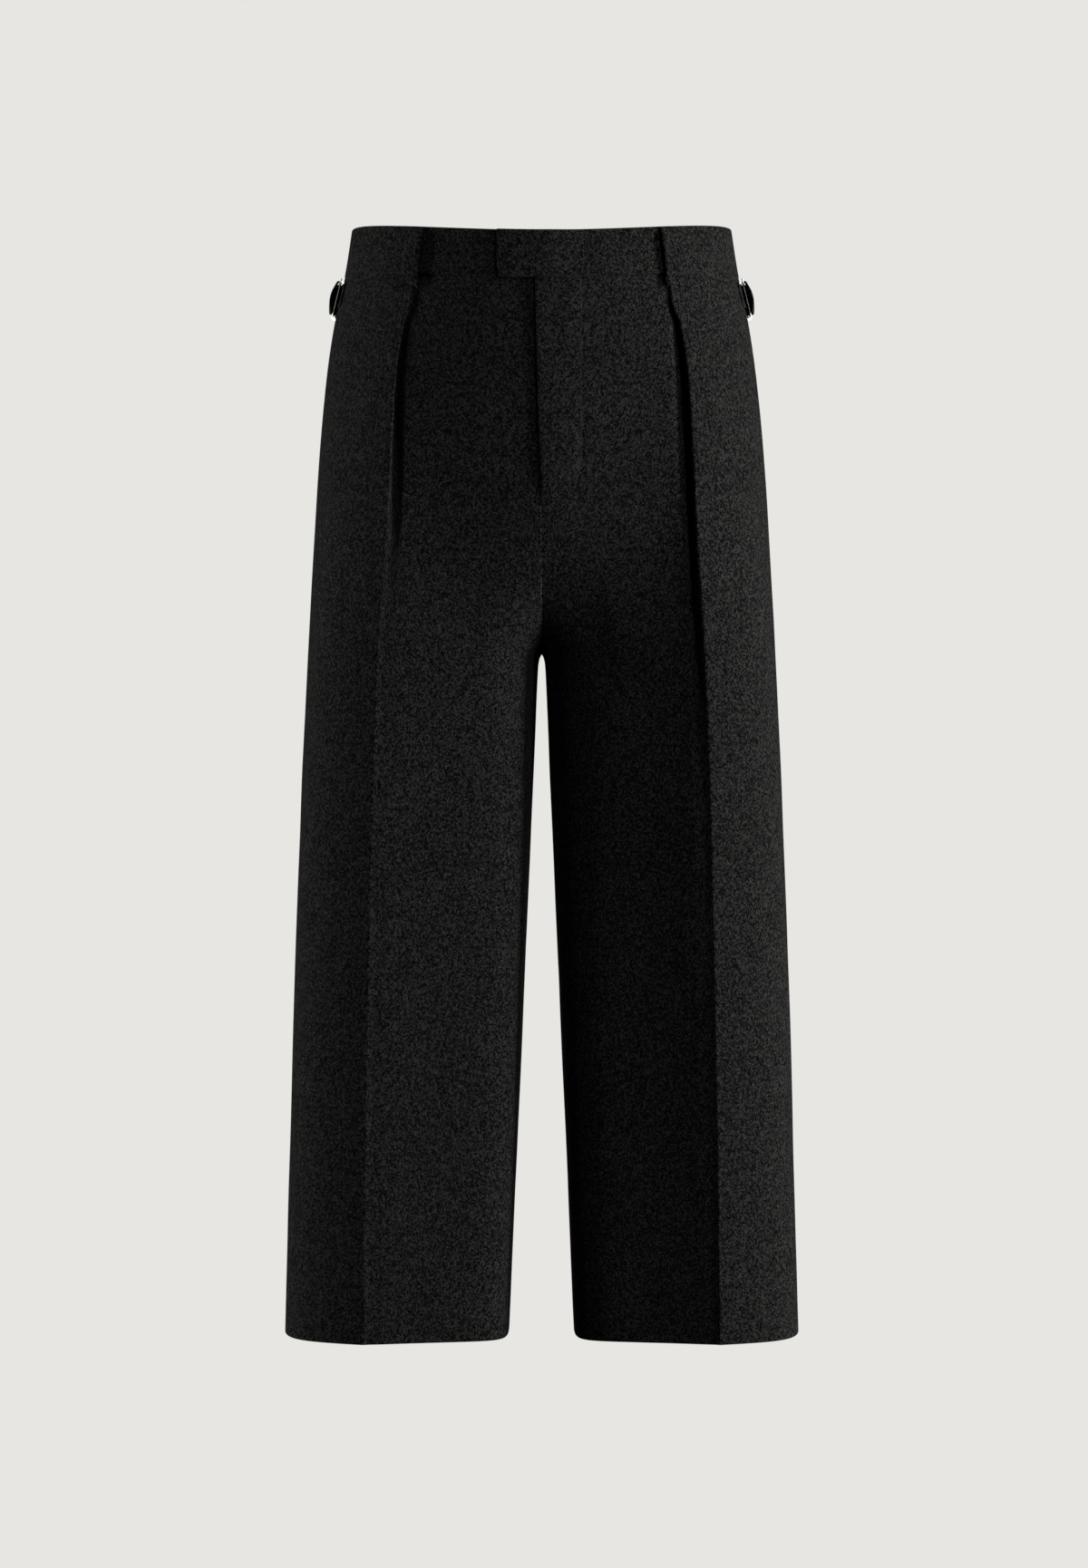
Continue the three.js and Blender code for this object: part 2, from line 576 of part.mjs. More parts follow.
// The buckle: a ring with rounded corners, closed up from its outline and its two windows
function buckle() {
  const { length, height, bar, wall: thick, off, corner } = BUCKLE;
  const outline = roundedBox(0, 0, length, height, corner);
  const windowLength = (length - 3 * bar) / 2;
  for (const way of [-1, 1]) {
    const middle = (way * (windowLength + bar)) / 2;
    outline.holes.push(roundedBox(middle, 0, windowLength, height - 2 * bar, corner - bar / 2));
  }
  const flat = new THREE.ExtrudeGeometry(outline, { depth: thick, bevelEnabled: false, steps: 1 });
  for (const name of ["normal", "uv"]) flat.deleteAttribute(name);
  const ring = mergeVertices(flat, 1e-4);
  const points = ring.getAttribute("position");
  for (let i = 0; i < points.count; i++) {
    const p = onHip(points.getX(i), ADJUSTER_ROW + points.getY(i), off + points.getZ(i));
    points.setXYZ(i, p.x, p.y, p.z);
  }
  return facingOut(ring);
}

function roundedBox(x, y, width, height, radius) {
  const points = [];
  for (const [right, up, from] of [[1, 1, 0], [-1, 1, 90], [-1, -1, 180], [1, -1, 270]])
    for (let i = 0; i <= BUCKLE_CORNER_STEPS; i++) {
      const turn = degToRad(from + (90 * i) / BUCKLE_CORNER_STEPS);
      const corner = new THREE.Vector2(x + right * (width / 2 - radius), y + up * (height / 2 - radius));
      points.push(corner.add(new THREE.Vector2(Math.cos(turn), Math.sin(turn)).multiplyScalar(radius)));
    }
  return new THREE.Shape(points);
}

// The strap's path, on a smooth curve through its table
const strapPath = STRAP_STOPS.map((along) => ({
  along,
  off: at(STRAP_PATH, "off", along, "along"),
  crown: at(STRAP_PATH, "crown", along, "along"),
}));

// The strap's tail is rounded: its tip draws in towards its upper and lower edges
function tipIn(share, i) {
  const nearTip = smoothstep(i, STRAP_STOPS.length - 5, STRAP_STOPS.length - 1);
  return nearTip * STRAP.rounded * (1 - Math.sqrt(1 - 0.9 * share ** 2));
}

const trousers = new THREE.Group();
trousers.name = "pleated_trousers";

function add(name, geometry, finish) {
  const mesh = new THREE.Mesh(geometry, new THREE.MeshStandardMaterial(finish));
  mesh.name = name;
  trousers.add(mesh);
}

// The wearer's left is at +x. The left front carries the fly, so it is not the right one mirrored.
add("front_left", panel("front", flyLine, 1, flyRaised), WOOL);
add("front_right", panel("front", (z) => frontLine(RIGHT_PLEAT, z), -1), WOOL);
add("back_left", panel("back", backLine), WOOL);
add("back_right", panel("back", backLine, -1), WOOL);
add("waistband_left", waistband(true, 1), WOOL);
add("waistband_right", waistband(false, -1), WOOL);
for (const { name, face, top, foot } of LOOPS) {
  const loop = beltLoop(face, top, foot);
  add(`${name}_left`, loop, WOOL);
  add(`${name}_right`, mirrored(loop), WOOL);
}
add("belt_loop_centre_back", beltLoop("back", 0, 0), WOOL);
const adjuster = [
  ["adjuster_strap", hipBand(strapPath, STRAP_SHARES, STRAP.height, STRAP.wall, tipIn), WOOL],
  ["adjuster_buckle", buckle(), STEEL],
  ["adjuster_tab", hipBand(TAB_PATH, [-1, 0, 1], TAB.height, TAB.wall), WOOL],
];
for (const [name, geometry, finish] of adjuster) {
  add(`${name}_left`, geometry, finish);
  add(`${name}_right`, mirrored(geometry), finish);
}

export default trousers;
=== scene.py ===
"""Pleated wide-leg trousers in black wool, hollow as when worn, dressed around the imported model."""
import functools
import math

import bpy
import numpy as np
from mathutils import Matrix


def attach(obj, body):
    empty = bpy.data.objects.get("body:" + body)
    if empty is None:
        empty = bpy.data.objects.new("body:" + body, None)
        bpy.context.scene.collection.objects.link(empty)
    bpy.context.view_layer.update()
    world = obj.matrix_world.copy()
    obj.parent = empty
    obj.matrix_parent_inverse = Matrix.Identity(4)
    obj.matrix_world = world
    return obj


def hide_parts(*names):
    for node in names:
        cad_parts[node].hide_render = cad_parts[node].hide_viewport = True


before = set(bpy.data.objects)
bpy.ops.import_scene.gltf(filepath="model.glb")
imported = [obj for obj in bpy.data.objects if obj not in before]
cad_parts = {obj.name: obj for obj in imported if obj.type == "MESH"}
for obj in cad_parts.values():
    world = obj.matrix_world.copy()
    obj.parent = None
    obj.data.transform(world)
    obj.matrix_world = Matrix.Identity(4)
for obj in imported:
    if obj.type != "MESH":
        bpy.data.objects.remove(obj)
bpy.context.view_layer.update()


# The camera stands at the photograph's viewing angle: level, half way down the trousers and 3 m off.
MIDDLE = -0.4642
bpy.ops.object.select_all(action="DESELECT")
bpy.ops.object.camera_add(location=(0.002, -3.0, MIDDLE), rotation=(math.radians(90), 0, 0))
camera = bpy.context.object
camera.data.lens = 79.0
camera.data.sensor_width = 36.0
bpy.context.scene.camera = camera


# The studio has a plain pale floor that runs into a background of the same colour. The camera and polished
# metal see it pale, and the cloth gets almost no light from it. Tall soft boxes light the trousers from both
# sides, nearly along the cloth, the stronger one from the picture's right, and weaker ones fill in.
def hex_colour(code):
    """The linear colour of an sRGB hex value, with an alpha of 1."""
    parts = [int(code[i : i + 2], 16) / 255 for i in (1, 3, 5)]
    return [c / 12.92 if c <= 0.04045 else ((c + 0.055) / 1.055) ** 2.4 for c in parts] + [1.0]


def node(tree, kind, inputs=None, **settings):
    """Adds a shader node with its settings. An input is a socket to link or a value to set."""
    made = tree.nodes.new(kind)
    for name, value in settings.items():
        setattr(made, name, value)
    for name, value in (inputs or {}).items():
        if isinstance(value, bpy.types.NodeSocket):
            tree.links.new(value, made.inputs[name])
        else:
            made.inputs[name].default_value = value
    return made


PAPER = hex_colour("#e7e6e2")
FLOOR_HEIGHT = -1.0
FLOOR_RADIUS = 9.0
AMBIENT = 0.0004

bpy.ops.mesh.primitive_circle_add(
    vertices=96, radius=FLOOR_RADIUS, fill_type="NGON", location=(0, 0, FLOOR_HEIGHT)
)
floor = bpy.context.object
floor.name = "studio_floor"
floor.visible_diffuse = False
floor.visible_glossy = False
paper = bpy.data.materials.new("pale studio paper")
paper.use_nodes = True
paper.node_tree.nodes.clear()
glow = node(paper.node_tree, "ShaderNodeEmission", {"Color": PAPER, "Strength": 1.0})
node(paper.node_tree, "ShaderNodeOutputMaterial", {"Surface": glow.outputs[0]})
floor.data.materials.append(paper)

world = bpy.context.scene.world or bpy.data.worlds.new("studio")
bpy.context.scene.world = world
world.use_nodes = True
world.node_tree.nodes.clear()
seen = node(world.node_tree, "ShaderNodeBackground", {"Color": PAPER, "Strength": 1.0})
cast = node(world.node_tree, "ShaderNodeBackground", {"Color": PAPER, "Strength": AMBIENT})
path = node(world.node_tree, "ShaderNodeLightPath")
mirrored = {0: path.outputs["Is Camera Ray"], 1: path.outputs["Is Glossy Ray"]}
pale = node(world.node_tree, "ShaderNodeMath", mirrored, operation="MAXIMUM")
either = node(world.node_tree, "ShaderNodeMixShader", {0: pale.outputs[0]})
world.node_tree.links.new(cast.outputs[0], either.inputs[1])
world.node_tree.links.new(seen.outputs[0], either.inputs[2])
node(world.node_tree, "ShaderNodeOutputWorld", {"Surface": either.outputs[0]})
bpy.context.scene.view_settings.view_transform = "Standard"

# name, degrees round from the camera towards +X, distance, height above the middle, width, height, watts
SOFT_BOXES = [
    ("key", 75, 3.0, 0.1, 0.7, 2.0, 122),
    ("high_right", 40, 3.0, 1.6, 0.7, 1.0, 21),
    ("left_front", -45, 3.0, 0.1, 0.7, 2.0, 3),
    ("left_edge", -92, 3.0, 0.1, 0.5, 2.0, 72),
    ("behind_right", 170, 3.0, 0.3, 0.7, 2.0, 30),
    ("behind_left", -166, 3.0, 0.8, 0.7, 1.6, 18),
]
for name, degrees, distance, up, width, height, watts in SOFT_BOXES:
    turn = math.radians(degrees)
    place = (distance * math.sin(turn), -distance * math.cos(turn), MIDDLE + up)
    tip = math.atan2(up, distance)
    bpy.ops.object.light_add(type="AREA", location=place, rotation=(math.pi / 2 - tip, 0, turn))
    box = bpy.context.object
    box.name = f"soft_box_{name}"
    box.data.shape = "RECTANGLE"
    box.data.size = width
    box.data.size_y = height
    box.data.energy = watts


# The right front: one cut panel of black wool from waist seam to hem, with a forward pleat that opens out
# into the crease pressed down the leg. Its hem is turned up inside and blind stitched.
MM = 0.001  # the sizes below are millimetres, and heights are down from the waist at centre front
CLOTH = 1.2
SEAM = -0.1  # sewn edges press into each other a little
BAND_HEIGHT = 40
HEM = -939
CROTCH = -350
SIDE_LIFT = 17
BACK_LIFT = 22
LIFT_FADE = 180
INSEAM_Y = 6
SIDE_Y = 4
INSEAM_AT_CROTCH = 3.3
INSEAM_AT_HEM = 29
CROTCH_ARCH = 4
CROTCH_MEETS = 0.87
FOLD_RADIUS = (CLOTH + 0.35) / 2
CREASE_SOFTER = 1.3
INNER_SOFTER = 7
FLAT_REACH = 0.36
HEM_REACH = (0.97, 1)
HIP_REACH = 0.4
LEG_REACH = (0.78, 0.68)
SQUARES_BELOW = (360, 800)  # how far down the leg's round grows squarer
FILLS_BELOW = (40, 420)  # how far down its corner at the side grows fuller


def table(names, *rows):
    """Named columns from rows, which are sorted by their first number."""
    return dict(zip(names.split(), np.array(sorted(rows), float).T))


SIDE = table(
    "z out",
    (20, 164), (-22, 170.6), (-57, 178.6), (-105, 185.9), (-168, 191.8), (-263, 197.7), (-350, 202.5),
    (-460, 207.7), (-602, 213.2), (-792, 219), (HEM, 222.6),
)
FRONT = table(
    "z centre creaseX crease arrive leave",
    (20, 116, 104, 89, 30, 33),
    (-41, 120.5, 109, 97, 26, 31),
    (-66, 122, 111, 100.5, 22, 30),
    (-82, 123, 117.4, 102.5, 19, 30),
    (-125, 124.5, 124, 108.5, 12, 29),
    (-202, 124.5, 128.3, 116.5, 3, 27),
    (-263, 123, 131, 119, -4, 26),
    (-339, 119, 136.2, 116.5, -9, 25),
    (-450, 110, 141, 108, -12, 24),
    (-566, 100, 144.4, 98, -13, 22),
    (-750, 90, 148.5, 88, -13, 20),
    (HEM, 84, 151.2, 80.5, -12.5, 18),
)
RIGHT_PLEAT = table(
    "z valley proud turn deep",
    (-41, 5, 2.6, 180, 16),
    (-62, 6, 2.5, 178, 14),
    (-82, 8, 2.3, 170, 10),
    (-99, 9, 2, 160, 7),
    (-125, 10.5, 1.6, 142, 4.6),
    (-164, 12, 1, 108, 3.2),
    (-202, 13, 0.5, 62, 2.8),
    (-263, 14, 0.1, 22, 2.8),
    (-339, 15, 0, 8, 3),
    (HEM, 16, 0, 8, 3),
)
FRONT_FACE = {"rows": FRONT, "curve_top": -200, "way": -1, "reach": (0.92, 0.97)}


def smooth(x, low, high):
    """Rises softly from 0 at low to 1 at high."""
    t = np.clip((np.asarray(x, float) - low) / (high - low), 0, 1)
    return t * t * (3 - 2 * t)


def mix(a, b, share):
    return a + (b - a) * share


def at(rows, column, where):
    """A column's value at a place, on a smooth curve through the table's rows."""
    key, value = next(iter(rows.values())), rows[column]
    last = len(key) - 1
    every = np.arange(last + 1)
    before, after = np.maximum(every - 1, 0), np.minimum(every + 1, last)
    slope = (value[after] - value[before]) / (key[after] - key[before])
    x = np.clip(where, key[0], key[-1])
    i = np.clip(np.searchsorted(key, x) - 1, 0, last - 1)
    step = key[i + 1] - key[i]
    t = (x - key[i]) / step
    leaving = (value[i] * (1 + 2 * t) + slope[i] * step * t) * (1 - t) ** 2
    arriving = (value[i + 1] * (3 - 2 * t) + slope[i + 1] * step * (t - 1)) * t**2
    return leaving + arriving


def heading(degrees):
    """A direction in a section: +x, turned back from the face by the angle."""
    return np.array([math.cos(math.radians(degrees)), -math.sin(math.radians(degrees))])


def lift_at(row, share):
    """How far a row is lifted, at a share of the way from centre front past the side to centre back."""
    fade = smooth(row, -BAND_HEIGHT - LIFT_FADE, -BAND_HEIGHT)
    return fade * (SIDE_LIFT * smooth(share, 0, 0.5) + (BACK_LIFT - SIDE_LIFT) * smooth(share, 0.5, 1))


def side_x(z):
    return at(SIDE, "out", z + lift_at(z, 0.5))


def inseam_x(z):
    """Where a leg's round starts at its inside. Above the crotch that lies beyond the middle plane."""
    below = CROTCH - z
    if below < 0:
        return SEAM / 2 + CROTCH_MEETS * below
    spread = (INSEAM_AT_HEM - INSEAM_AT_CROTCH) * below / (CROTCH - HEM)
    return SEAM / 2 + spread + INSEAM_AT_CROTCH * (1 - math.exp(-below / CROTCH_ARCH))


def corners_of(face, z):
    """The corners of half a section: its inside leg, its centre seam, its crease and its side seam."""
    rows, way = face["rows"], face["way"]
    return {
        "inseam": np.array([inseam_x(z), way * INSEAM_Y + SEAM / 2]),
        "centre": np.array([SEAM / 2, at(rows, "centre", z)]),
        "flat": smooth(z, CROTCH, face["curve_top"]),
        "crease": np.array([at(rows, "creaseX", z), at(rows, "crease", z)]),
        "arrive": at(rows, "arrive", z),
        "leave": at(rows, "leave", z),
        "end": np.array([side_x(z), way * SIDE_Y + SEAM / 2]),
        "reach": face["reach"],
    }


STEPS = np.linspace(0, 1, 160)


def bezier(a, a_way, b, b_way, out, into, shares=STEPS):
    t = shares[:, None]
    p, q = a + a_way * out, b - b_way * into
    return a * (1 - t) ** 3 + 3 * p * t * (1 - t) ** 2 + 3 * q * t**2 * (1 - t) + b * t**3


def seam_on(start, reached, end):
    """The share of a round at which it passes the centre seam, from the x of its three corners."""
    low, high = 0.0, 1.0
    for _ in range(40):
        t = (low + high) / 2
        x = start * (1 - t) ** 2 * (1 + 2 * t) + 3 * reached * t**2 * (1 - t) + end * t**3
        low, high = (t, high) if x < SEAM / 2 else (low, t)
    return high


def centre_run(c, to, z):
    """From the centre seam to a point near the crease: the leg's round, or flat across the body."""
    across, deep = abs(to - c["inseam"])
    squarer = smooth(-z, *SQUARES_BELOW)
    out, into = (mix(crotch, hem, squarer) for crotch, hem in zip(c["reach"], HEM_REACH))
    came = heading(c["arrive"])
    first = seam_on(c["inseam"][0], to[0] - into * across * came[0], to[0])
    leg = bezier(c["inseam"], heading(-90), to, came, out * deep, into * across, mix(first, 1, STEPS))
    reach = FLAT_REACH * math.dist(c["centre"], to)
    return mix(leg, bezier(c["centre"], heading(0), to, came, reach, reach), c["flat"])


def side_run(c, start, z):
    """From the crease to the side seam, fuller in the corner down the leg."""
    across, deep = c["end"][0] - start[0], start[1] - c["end"][1]
    chord = math.hypot(across, deep)
    full = smooth(-z, *FILLS_BELOW)
    out = mix(FLAT_REACH * chord, LEG_REACH[0] * across, full)
    into = mix(HIP_REACH * chord, LEG_REACH[1] * deep, full)
    return bezier(start, heading(c["leave"]), c["end"], heading(90), out, into)


def walked(line):
    """The distance along a line to each of its points."""
    return np.concatenate([[0], np.cumsum(np.linalg.norm(np.diff(line, axis=0), axis=1))])


def respaced(line, close_start, close_end, count):
    """The line with points close together at its ends, by those distances, and even between."""
    done = walked(line)
    first, last = close_start[-1], done[-1] - close_end[-1]
    even = np.linspace(first, last, count + 2)[1:-1]
    stops = np.concatenate([close_start, even, done[-1] - np.array(close_end)[::-1]])
    return np.stack([np.interp(stops, done, line[:, k]) for k in (0, 1)], axis=1)


def along_line(line, stops):
    """Points and ways out at distances along a line."""
    done = walked(line)
    out = ways_out(line[None])[0]
    place = np.stack([np.interp(stops, done, line[:, k]) for k in (0, 1)], axis=-1)
    way = np.stack([np.interp(stops, done, out[:, k]) for k in (0, 1)], axis=-1)
    return place, way / np.linalg.norm(way, axis=-1, keepdims=True)


DIP_POINTS, INNER_POINTS, CREASE_POINTS = 8, 9, 10  # on the pleat's lip, its inner fold and the crease


def pleat_path(pleat, z, slope):
    """The pleat's line from its lip to where it leaves the crease for the side, in the crease's own frame."""
    valley, proud, turn, deep = (at(pleat, name, z) for name in ("valley", "proud", "turn", "deep"))
    opened = 1 - turn / 180
    crease_radius = FOLD_RADIUS + CREASE_SOFTER * opened
    inner_radius = FOLD_RADIUS + INNER_SOFTER * opened**2

    def on_round(centre, radius, degrees):
        a = np.radians(degrees)
        return np.stack([centre[0] + radius * np.cos(a), centre[1] + radius * np.sin(a)], axis=-1)

    crease_centre = np.array([0, -crease_radius])
    back_from = on_round(crease_centre, crease_radius + inner_radius, 90 + turn)
    inner_centre = on_round(back_from, -deep, turn)
    lowest = inner_centre[1] - inner_radius
    level = min(inner_centre[0] - 1, -3 * FOLD_RADIUS)
    share = np.linspace(0, 1, DIP_POINTS)
    dip = np.stack([mix(-valley, level, share), mix(-proud, lowest, smooth(share, 0, 1))], axis=1)
    inner = on_round(inner_centre, inner_radius, -90 + turn * np.linspace(0, 1, INNER_POINTS))
    leave = at(FRONT, "leave", z) - at(FRONT, "arrive", z)
    crease_turn = mix(90 + turn, 90 - leave, np.linspace(0, 1, CREASE_POINTS))
    crease = on_round(crease_centre, crease_radius, crease_turn)
    hidden = np.concatenate([dip, inner])
    hidden[:, 1] -= slope * np.maximum(hidden[:, 0], 0)
    return np.concatenate([hidden, crease])


AT_SEAM = [0, 0.35, 0.8, 1.4, 2.4]  # columns of points this far from a seam, for its soft edge
AT_PLEAT = [0, 1.2]
CENTRE_COLUMNS = 38
SIDE_COLUMNS = 36


def front_line(pleat, z):
    """The middle line of a front's section, with the pleat in it."""
    c = corners_of(FRONT_FACE, z)
    along = heading(c["arrive"])
    out = np.array([-along[1], along[0]])
    first = side_run(c, c["crease"], z)[:24]
    above = first[-1] - first[0]
    fold = pleat_path(pleat, z, -above.dot(out) / above.dot(along))
    fold = c["crease"] + fold[:, :1] * along + fold[:, 1:] * out
    centre = respaced(centre_run(c, fold[0], z), AT_SEAM, AT_PLEAT, CENTRE_COLUMNS)[:-1]
    side = respaced(side_run(c, fold[-1], z), AT_PLEAT, AT_SEAM, SIDE_COLUMNS)[1:]
    return np.concatenate([centre, fold, side])


def ways_out(lines):
    """The way out of each line of a grid, at each of its points."""
    step = np.diff(lines, axis=1)
    step /= np.maximum(np.linalg.norm(step, axis=2, keepdims=True), 1e-9)
    along = np.concatenate([step[:, :1], step[:, :-1] + step[:, 1:], step[:, -1:]], axis=1)
    along /= np.linalg.norm(along, axis=2, keepdims=True)
    return np.stack([-along[..., 1], along[..., 0]], axis=-1)


def placed(face, moved, z, still):
    """Points of sections in the trousers' own frame, lifted by where they lay before they moved."""
    share = np.arcsin(np.clip(abs(still[..., 0]) / side_x(z), 0, 1)) / math.pi
    share = share if face["way"] < 0 else 1 - share
    return np.stack([moved[..., 0], face["way"] * moved[..., 1], z + lift_at(z, share)], axis=-1)


def heights(*stretches):
    """Heights of the rows of points, from stretches of (top, bottom, spacing)."""
    parts = [np.linspace(a, b, max(2, round((a - b) / gap)), endpoint=False) for a, b, gap in stretches]
    return np.concatenate([*parts, [stretches[-1][1]]])


TOP = -BAND_HEIGHT - SEAM / 2
CROTCH_ROWS = CROTCH + 20 * np.linspace(1, 0, 18, endpoint=False) ** 2  # closest where the seam runs level
TUCKED_ROWS = [TOP + 6, TOP + 3, TOP + 1.4, TOP + 0.7]
PLEAT_ROWS = heights(
    (TOP, TOP - 2.4, 0.4), (TOP - 2.4, -70, 1.8), (-70, -180, 2.4), (-180, -240, 1.7), (-240, -330, 2.6)
)[:-1]
LEG_ROWS = heights((CROTCH, -356, 0.6), (-356, -372, 1.4), (-372, HEM + 3, 3.5), (HEM + 3, HEM, 1))
BODY_ROWS = np.concatenate([TUCKED_ROWS, PLEAT_ROWS, CROTCH_ROWS, LEG_ROWS])
BEHIND_BAND = 2.1  # how far in the top edge lies, behind the waistband
HEM_TURN = 0.8  # radius of the fold at the hem, to the cloth's middle
HEM_UP = 42  # how far the hem is turned up inside
SEAM_ROLL = 0.5  # how far the cloth sinks into a seam
SEAM_WIDE = 1.0
PLEAT_CLOSES = 380  # the pleat takes up no more cloth this far below the waist seam
# Pressed and sewn places stay calm: no fold comes this near to them
CREASE_CALM = 9
TOP_CALM = 30
SIDE_CALM = 14
CENTRE_CALM = 10
PLEAT_MIDDLE = 27  # from the crease towards the centre
PLEAT_CALM = (45, 65)
PLEAT_OPENS = (300, 480)  # how far down the pleat opens out, so that folds cross it again


def fold_at(spot, start, end, wide, deep):
    """A soft ridge between two spots seen from the front, or a trough where deep is less than 0."""
    start, run = np.array(start, float), np.array(end, float) - start
    length = np.linalg.norm(run)
    away = spot - start
    along = away @ run / length**2
    across = (away[..., 0] * run[1] - away[..., 1] * run[0]) / length
    across = across + 0.3 * wide * np.sin(4.1 * along + length / 37)
    ends = smooth(along, -0.25, 0.4) * (1 - smooth(along, 0.6, 1.25))
    return deep * ends * np.exp(-((across / wide) ** 2))


def unevenness(cut, seed):
    """The slight waviness that cloth keeps after pressing."""
    wave = np.zeros(cut.shape[:-1])
    turn = np.random.default_rng(seed)
    for length, height in ((31, 0.05), (47, 0.08), (76, 0.14), (118, 0.22), (190, 0.35)):
        for _ in range(3):
            a, phase = turn.uniform(0, math.pi), turn.uniform(0, 2 * math.pi)
            way = np.array([math.cos(a), 0.55 * math.sin(a)]) * 2 * math.pi / length
            bent = 0.8 * np.sin(cut[..., 1] / (length * 1.7) + phase)
            wave += height / 3 * np.sin(cut @ way + phase + bent)
    return wave


def pucker(cut, away, pitch=13, height=0.22, reach=7):
    """Small ripples that a row of stitches draws up in the cloth beside it."""
    v = cut[..., 1] + 0.35 * cut[..., 0]
    wave = np.sin(2 * math.pi * v / pitch + 1.7 * np.sin(v / 21)) * (0.6 + 0.4 * np.sin(v / 53 + 1))
    return height * wave * np.exp(-(away / reach) ** 2)


def to_mesh(name, points, cut, thickness, edge=0.0, flip=False):
    """A sheet made from a grid: its vertices go to points, in millimetres, and it gets its thickness."""
    rows, columns = points.shape[:2]
    bpy.ops.object.select_all(action="DESELECT")
    bpy.ops.mesh.primitive_grid_add(x_subdivisions=columns - 1, y_subdivisions=rows - 1, size=2)
    sheet = bpy.context.object
    sheet.name = sheet.data.name = name
    mesh = sheet.data
    mesh.vertices.foreach_set("co", (points * MM).astype(np.float32).ravel())
    layer = mesh.uv_layers.active
    layer.name = "cut"
    corner = np.zeros(len(mesh.loops), np.int32)
    mesh.loops.foreach_get("vertex_index", corner)
    layer.uv.foreach_set("vector", (cut.reshape(-1, 2)[corner] * MM).astype(np.float32).ravel())
    if flip:
        mesh.flip_normals()
    mesh.update()
    solid = sheet.modifiers.new("thickness", "SOLIDIFY")
    solid.thickness = thickness * MM
    solid.offset = 0
    solid.use_even_offset = True
    solid.thickness_clamp = 0
    bpy.ops.object.modifier_apply(modifier=solid.name)
    if edge:
        soft = sheet.modifiers.new("edge", "BEVEL")
        soft.width = edge * MM
        soft.segments = 3
        soft.limit_method = "ANGLE"
        soft.angle_limit = math.radians(50)
        bpy.ops.object.modifier_apply(modifier=soft.name)
    bpy.ops.object.shade_smooth_by_angle(angle=math.radians(48))
    return sheet


def cloth_panel(face, line_at, crease_column, side, seed, folds=(), shape=None, pleat_columns=None):
    """The points of a panel of the body and where each lies on the cut cloth, in millimetres."""
    z = BODY_ROWS[:, None]
    lines = np.array([line_at(row) for row in BODY_ROWS])
    out = ways_out(lines)
    steps = np.linalg.norm(np.diff(lines, axis=1), axis=2)
    across = np.concatenate([np.zeros((len(z), 1)), np.cumsum(steps, axis=1)], axis=1)
    down = z + 0 * across
    from_crease = across - across[:, crease_column][:, None]
    cut = np.stack([from_crease + lines[:, crease_column, :1], down], axis=-1)
    spot = np.stack([lines[..., 0], down], axis=-1)
    to_centre, to_side, to_top = across, across[:, -1:] - across, TOP - down
    calm = (1 - np.exp(-((from_crease / CREASE_CALM) ** 2))) * smooth(to_top, 0, TOP_CALM)
    calm *= smooth(to_side, 0, SIDE_CALM) * smooth(to_centre, 0, CENTRE_CALM)
    steady = out.copy()
    if pleat_columns:
        first, last = pleat_columns
        near_pleat = smooth(abs(from_crease + PLEAT_MIDDLE), *PLEAT_CALM)
        calm *= mix(near_pleat, 1, smooth(-down, *PLEAT_OPENS))
        # The grain runs straight down on both sides of the pleat, which takes up the cloth between them
        hidden = (from_crease[:, first] - lines[:, first, 0] + lines[:, crease_column, 0])[:, None]
        taper = hidden[0] * np.clip(1 - (TOP - z) / PLEAT_CLOSES, 0, 1)
        share = np.clip(from_crease / from_crease[:, first : first + 1], 0, 1)
        cut[..., 0] -= share * (hidden - taper)
        steady[:, first:last] = mix(out[:, first : first + 1], out[:, last - 1 : last], 0.5)
    rise = unevenness(cut, seed) * calm
    for start, end, wide, deep in folds:
        rise += fold_at(spot, start, end, wide, deep) * calm
    rise += pucker(cut[..., ::-1], to_top, height=0.18) * smooth(to_top, 0.5, 4) * (calm > 0)
    rise += pucker(cut, to_side, height=0.1) * smooth(to_side, 1, 3) * (down < -100)
    for away in (to_centre, to_side):
        rise -= SEAM_ROLL * np.clip(1 - away / SEAM_WIDE, 0, 1) ** 2
    if shape:
        rise += shape(z, lines)
    tucked = BEHIND_BAND * smooth(z, TOP - 0.7, TOP + 0.5)
    moved = lines + out * rise[..., None] - steady * tucked[..., None]
    least = SEAM / 2 + CLOTH / 2 * abs(out[..., 0])
    kept = np.maximum(moved[..., 0], np.minimum(least, np.maximum(lines[..., 0], SEAM / 2 + CLOTH / 2)))
    moved[..., 0] = np.where(lines[..., 0] > SEAM, kept, moved[..., 0])
    points = [placed(face, moved, down, lines)]
    cuts = [cut]
    # The hem turns up inside: half round its fold, then up along the panel
    for turn in np.radians([30, 60, 90, 120, 150, 180]):
        inwards = moved[-1] - out[-1] * HEM_TURN * (1 - math.cos(turn))
        points.append(placed(face, inwards, HEM - HEM_TURN * math.sin(turn), lines[-1])[None])
        cuts.append(np.stack([cut[-1, :, 0], down[-1] - HEM_TURN * turn], axis=-1)[None])
    for up in np.linspace(6, HEM_UP, 7):
        row = int(np.argmin(abs(z - (HEM + up))))
        points.append(placed(face, moved[row] - out[row] * 2 * HEM_TURN, down[row], lines[row])[None])
        cuts.append(np.stack([cut[row, :, 0], 2 * HEM - down[row]], axis=-1)[None])
    points, cuts = np.concatenate(points), np.concatenate(cuts)
    points[..., 0] *= side
    return points, cuts


KNOT_SIZE, YARN_SIZE, CLOUD_SIZE = 0.00115, 0.0008, 0.03  # of the crepe's grain, in metres


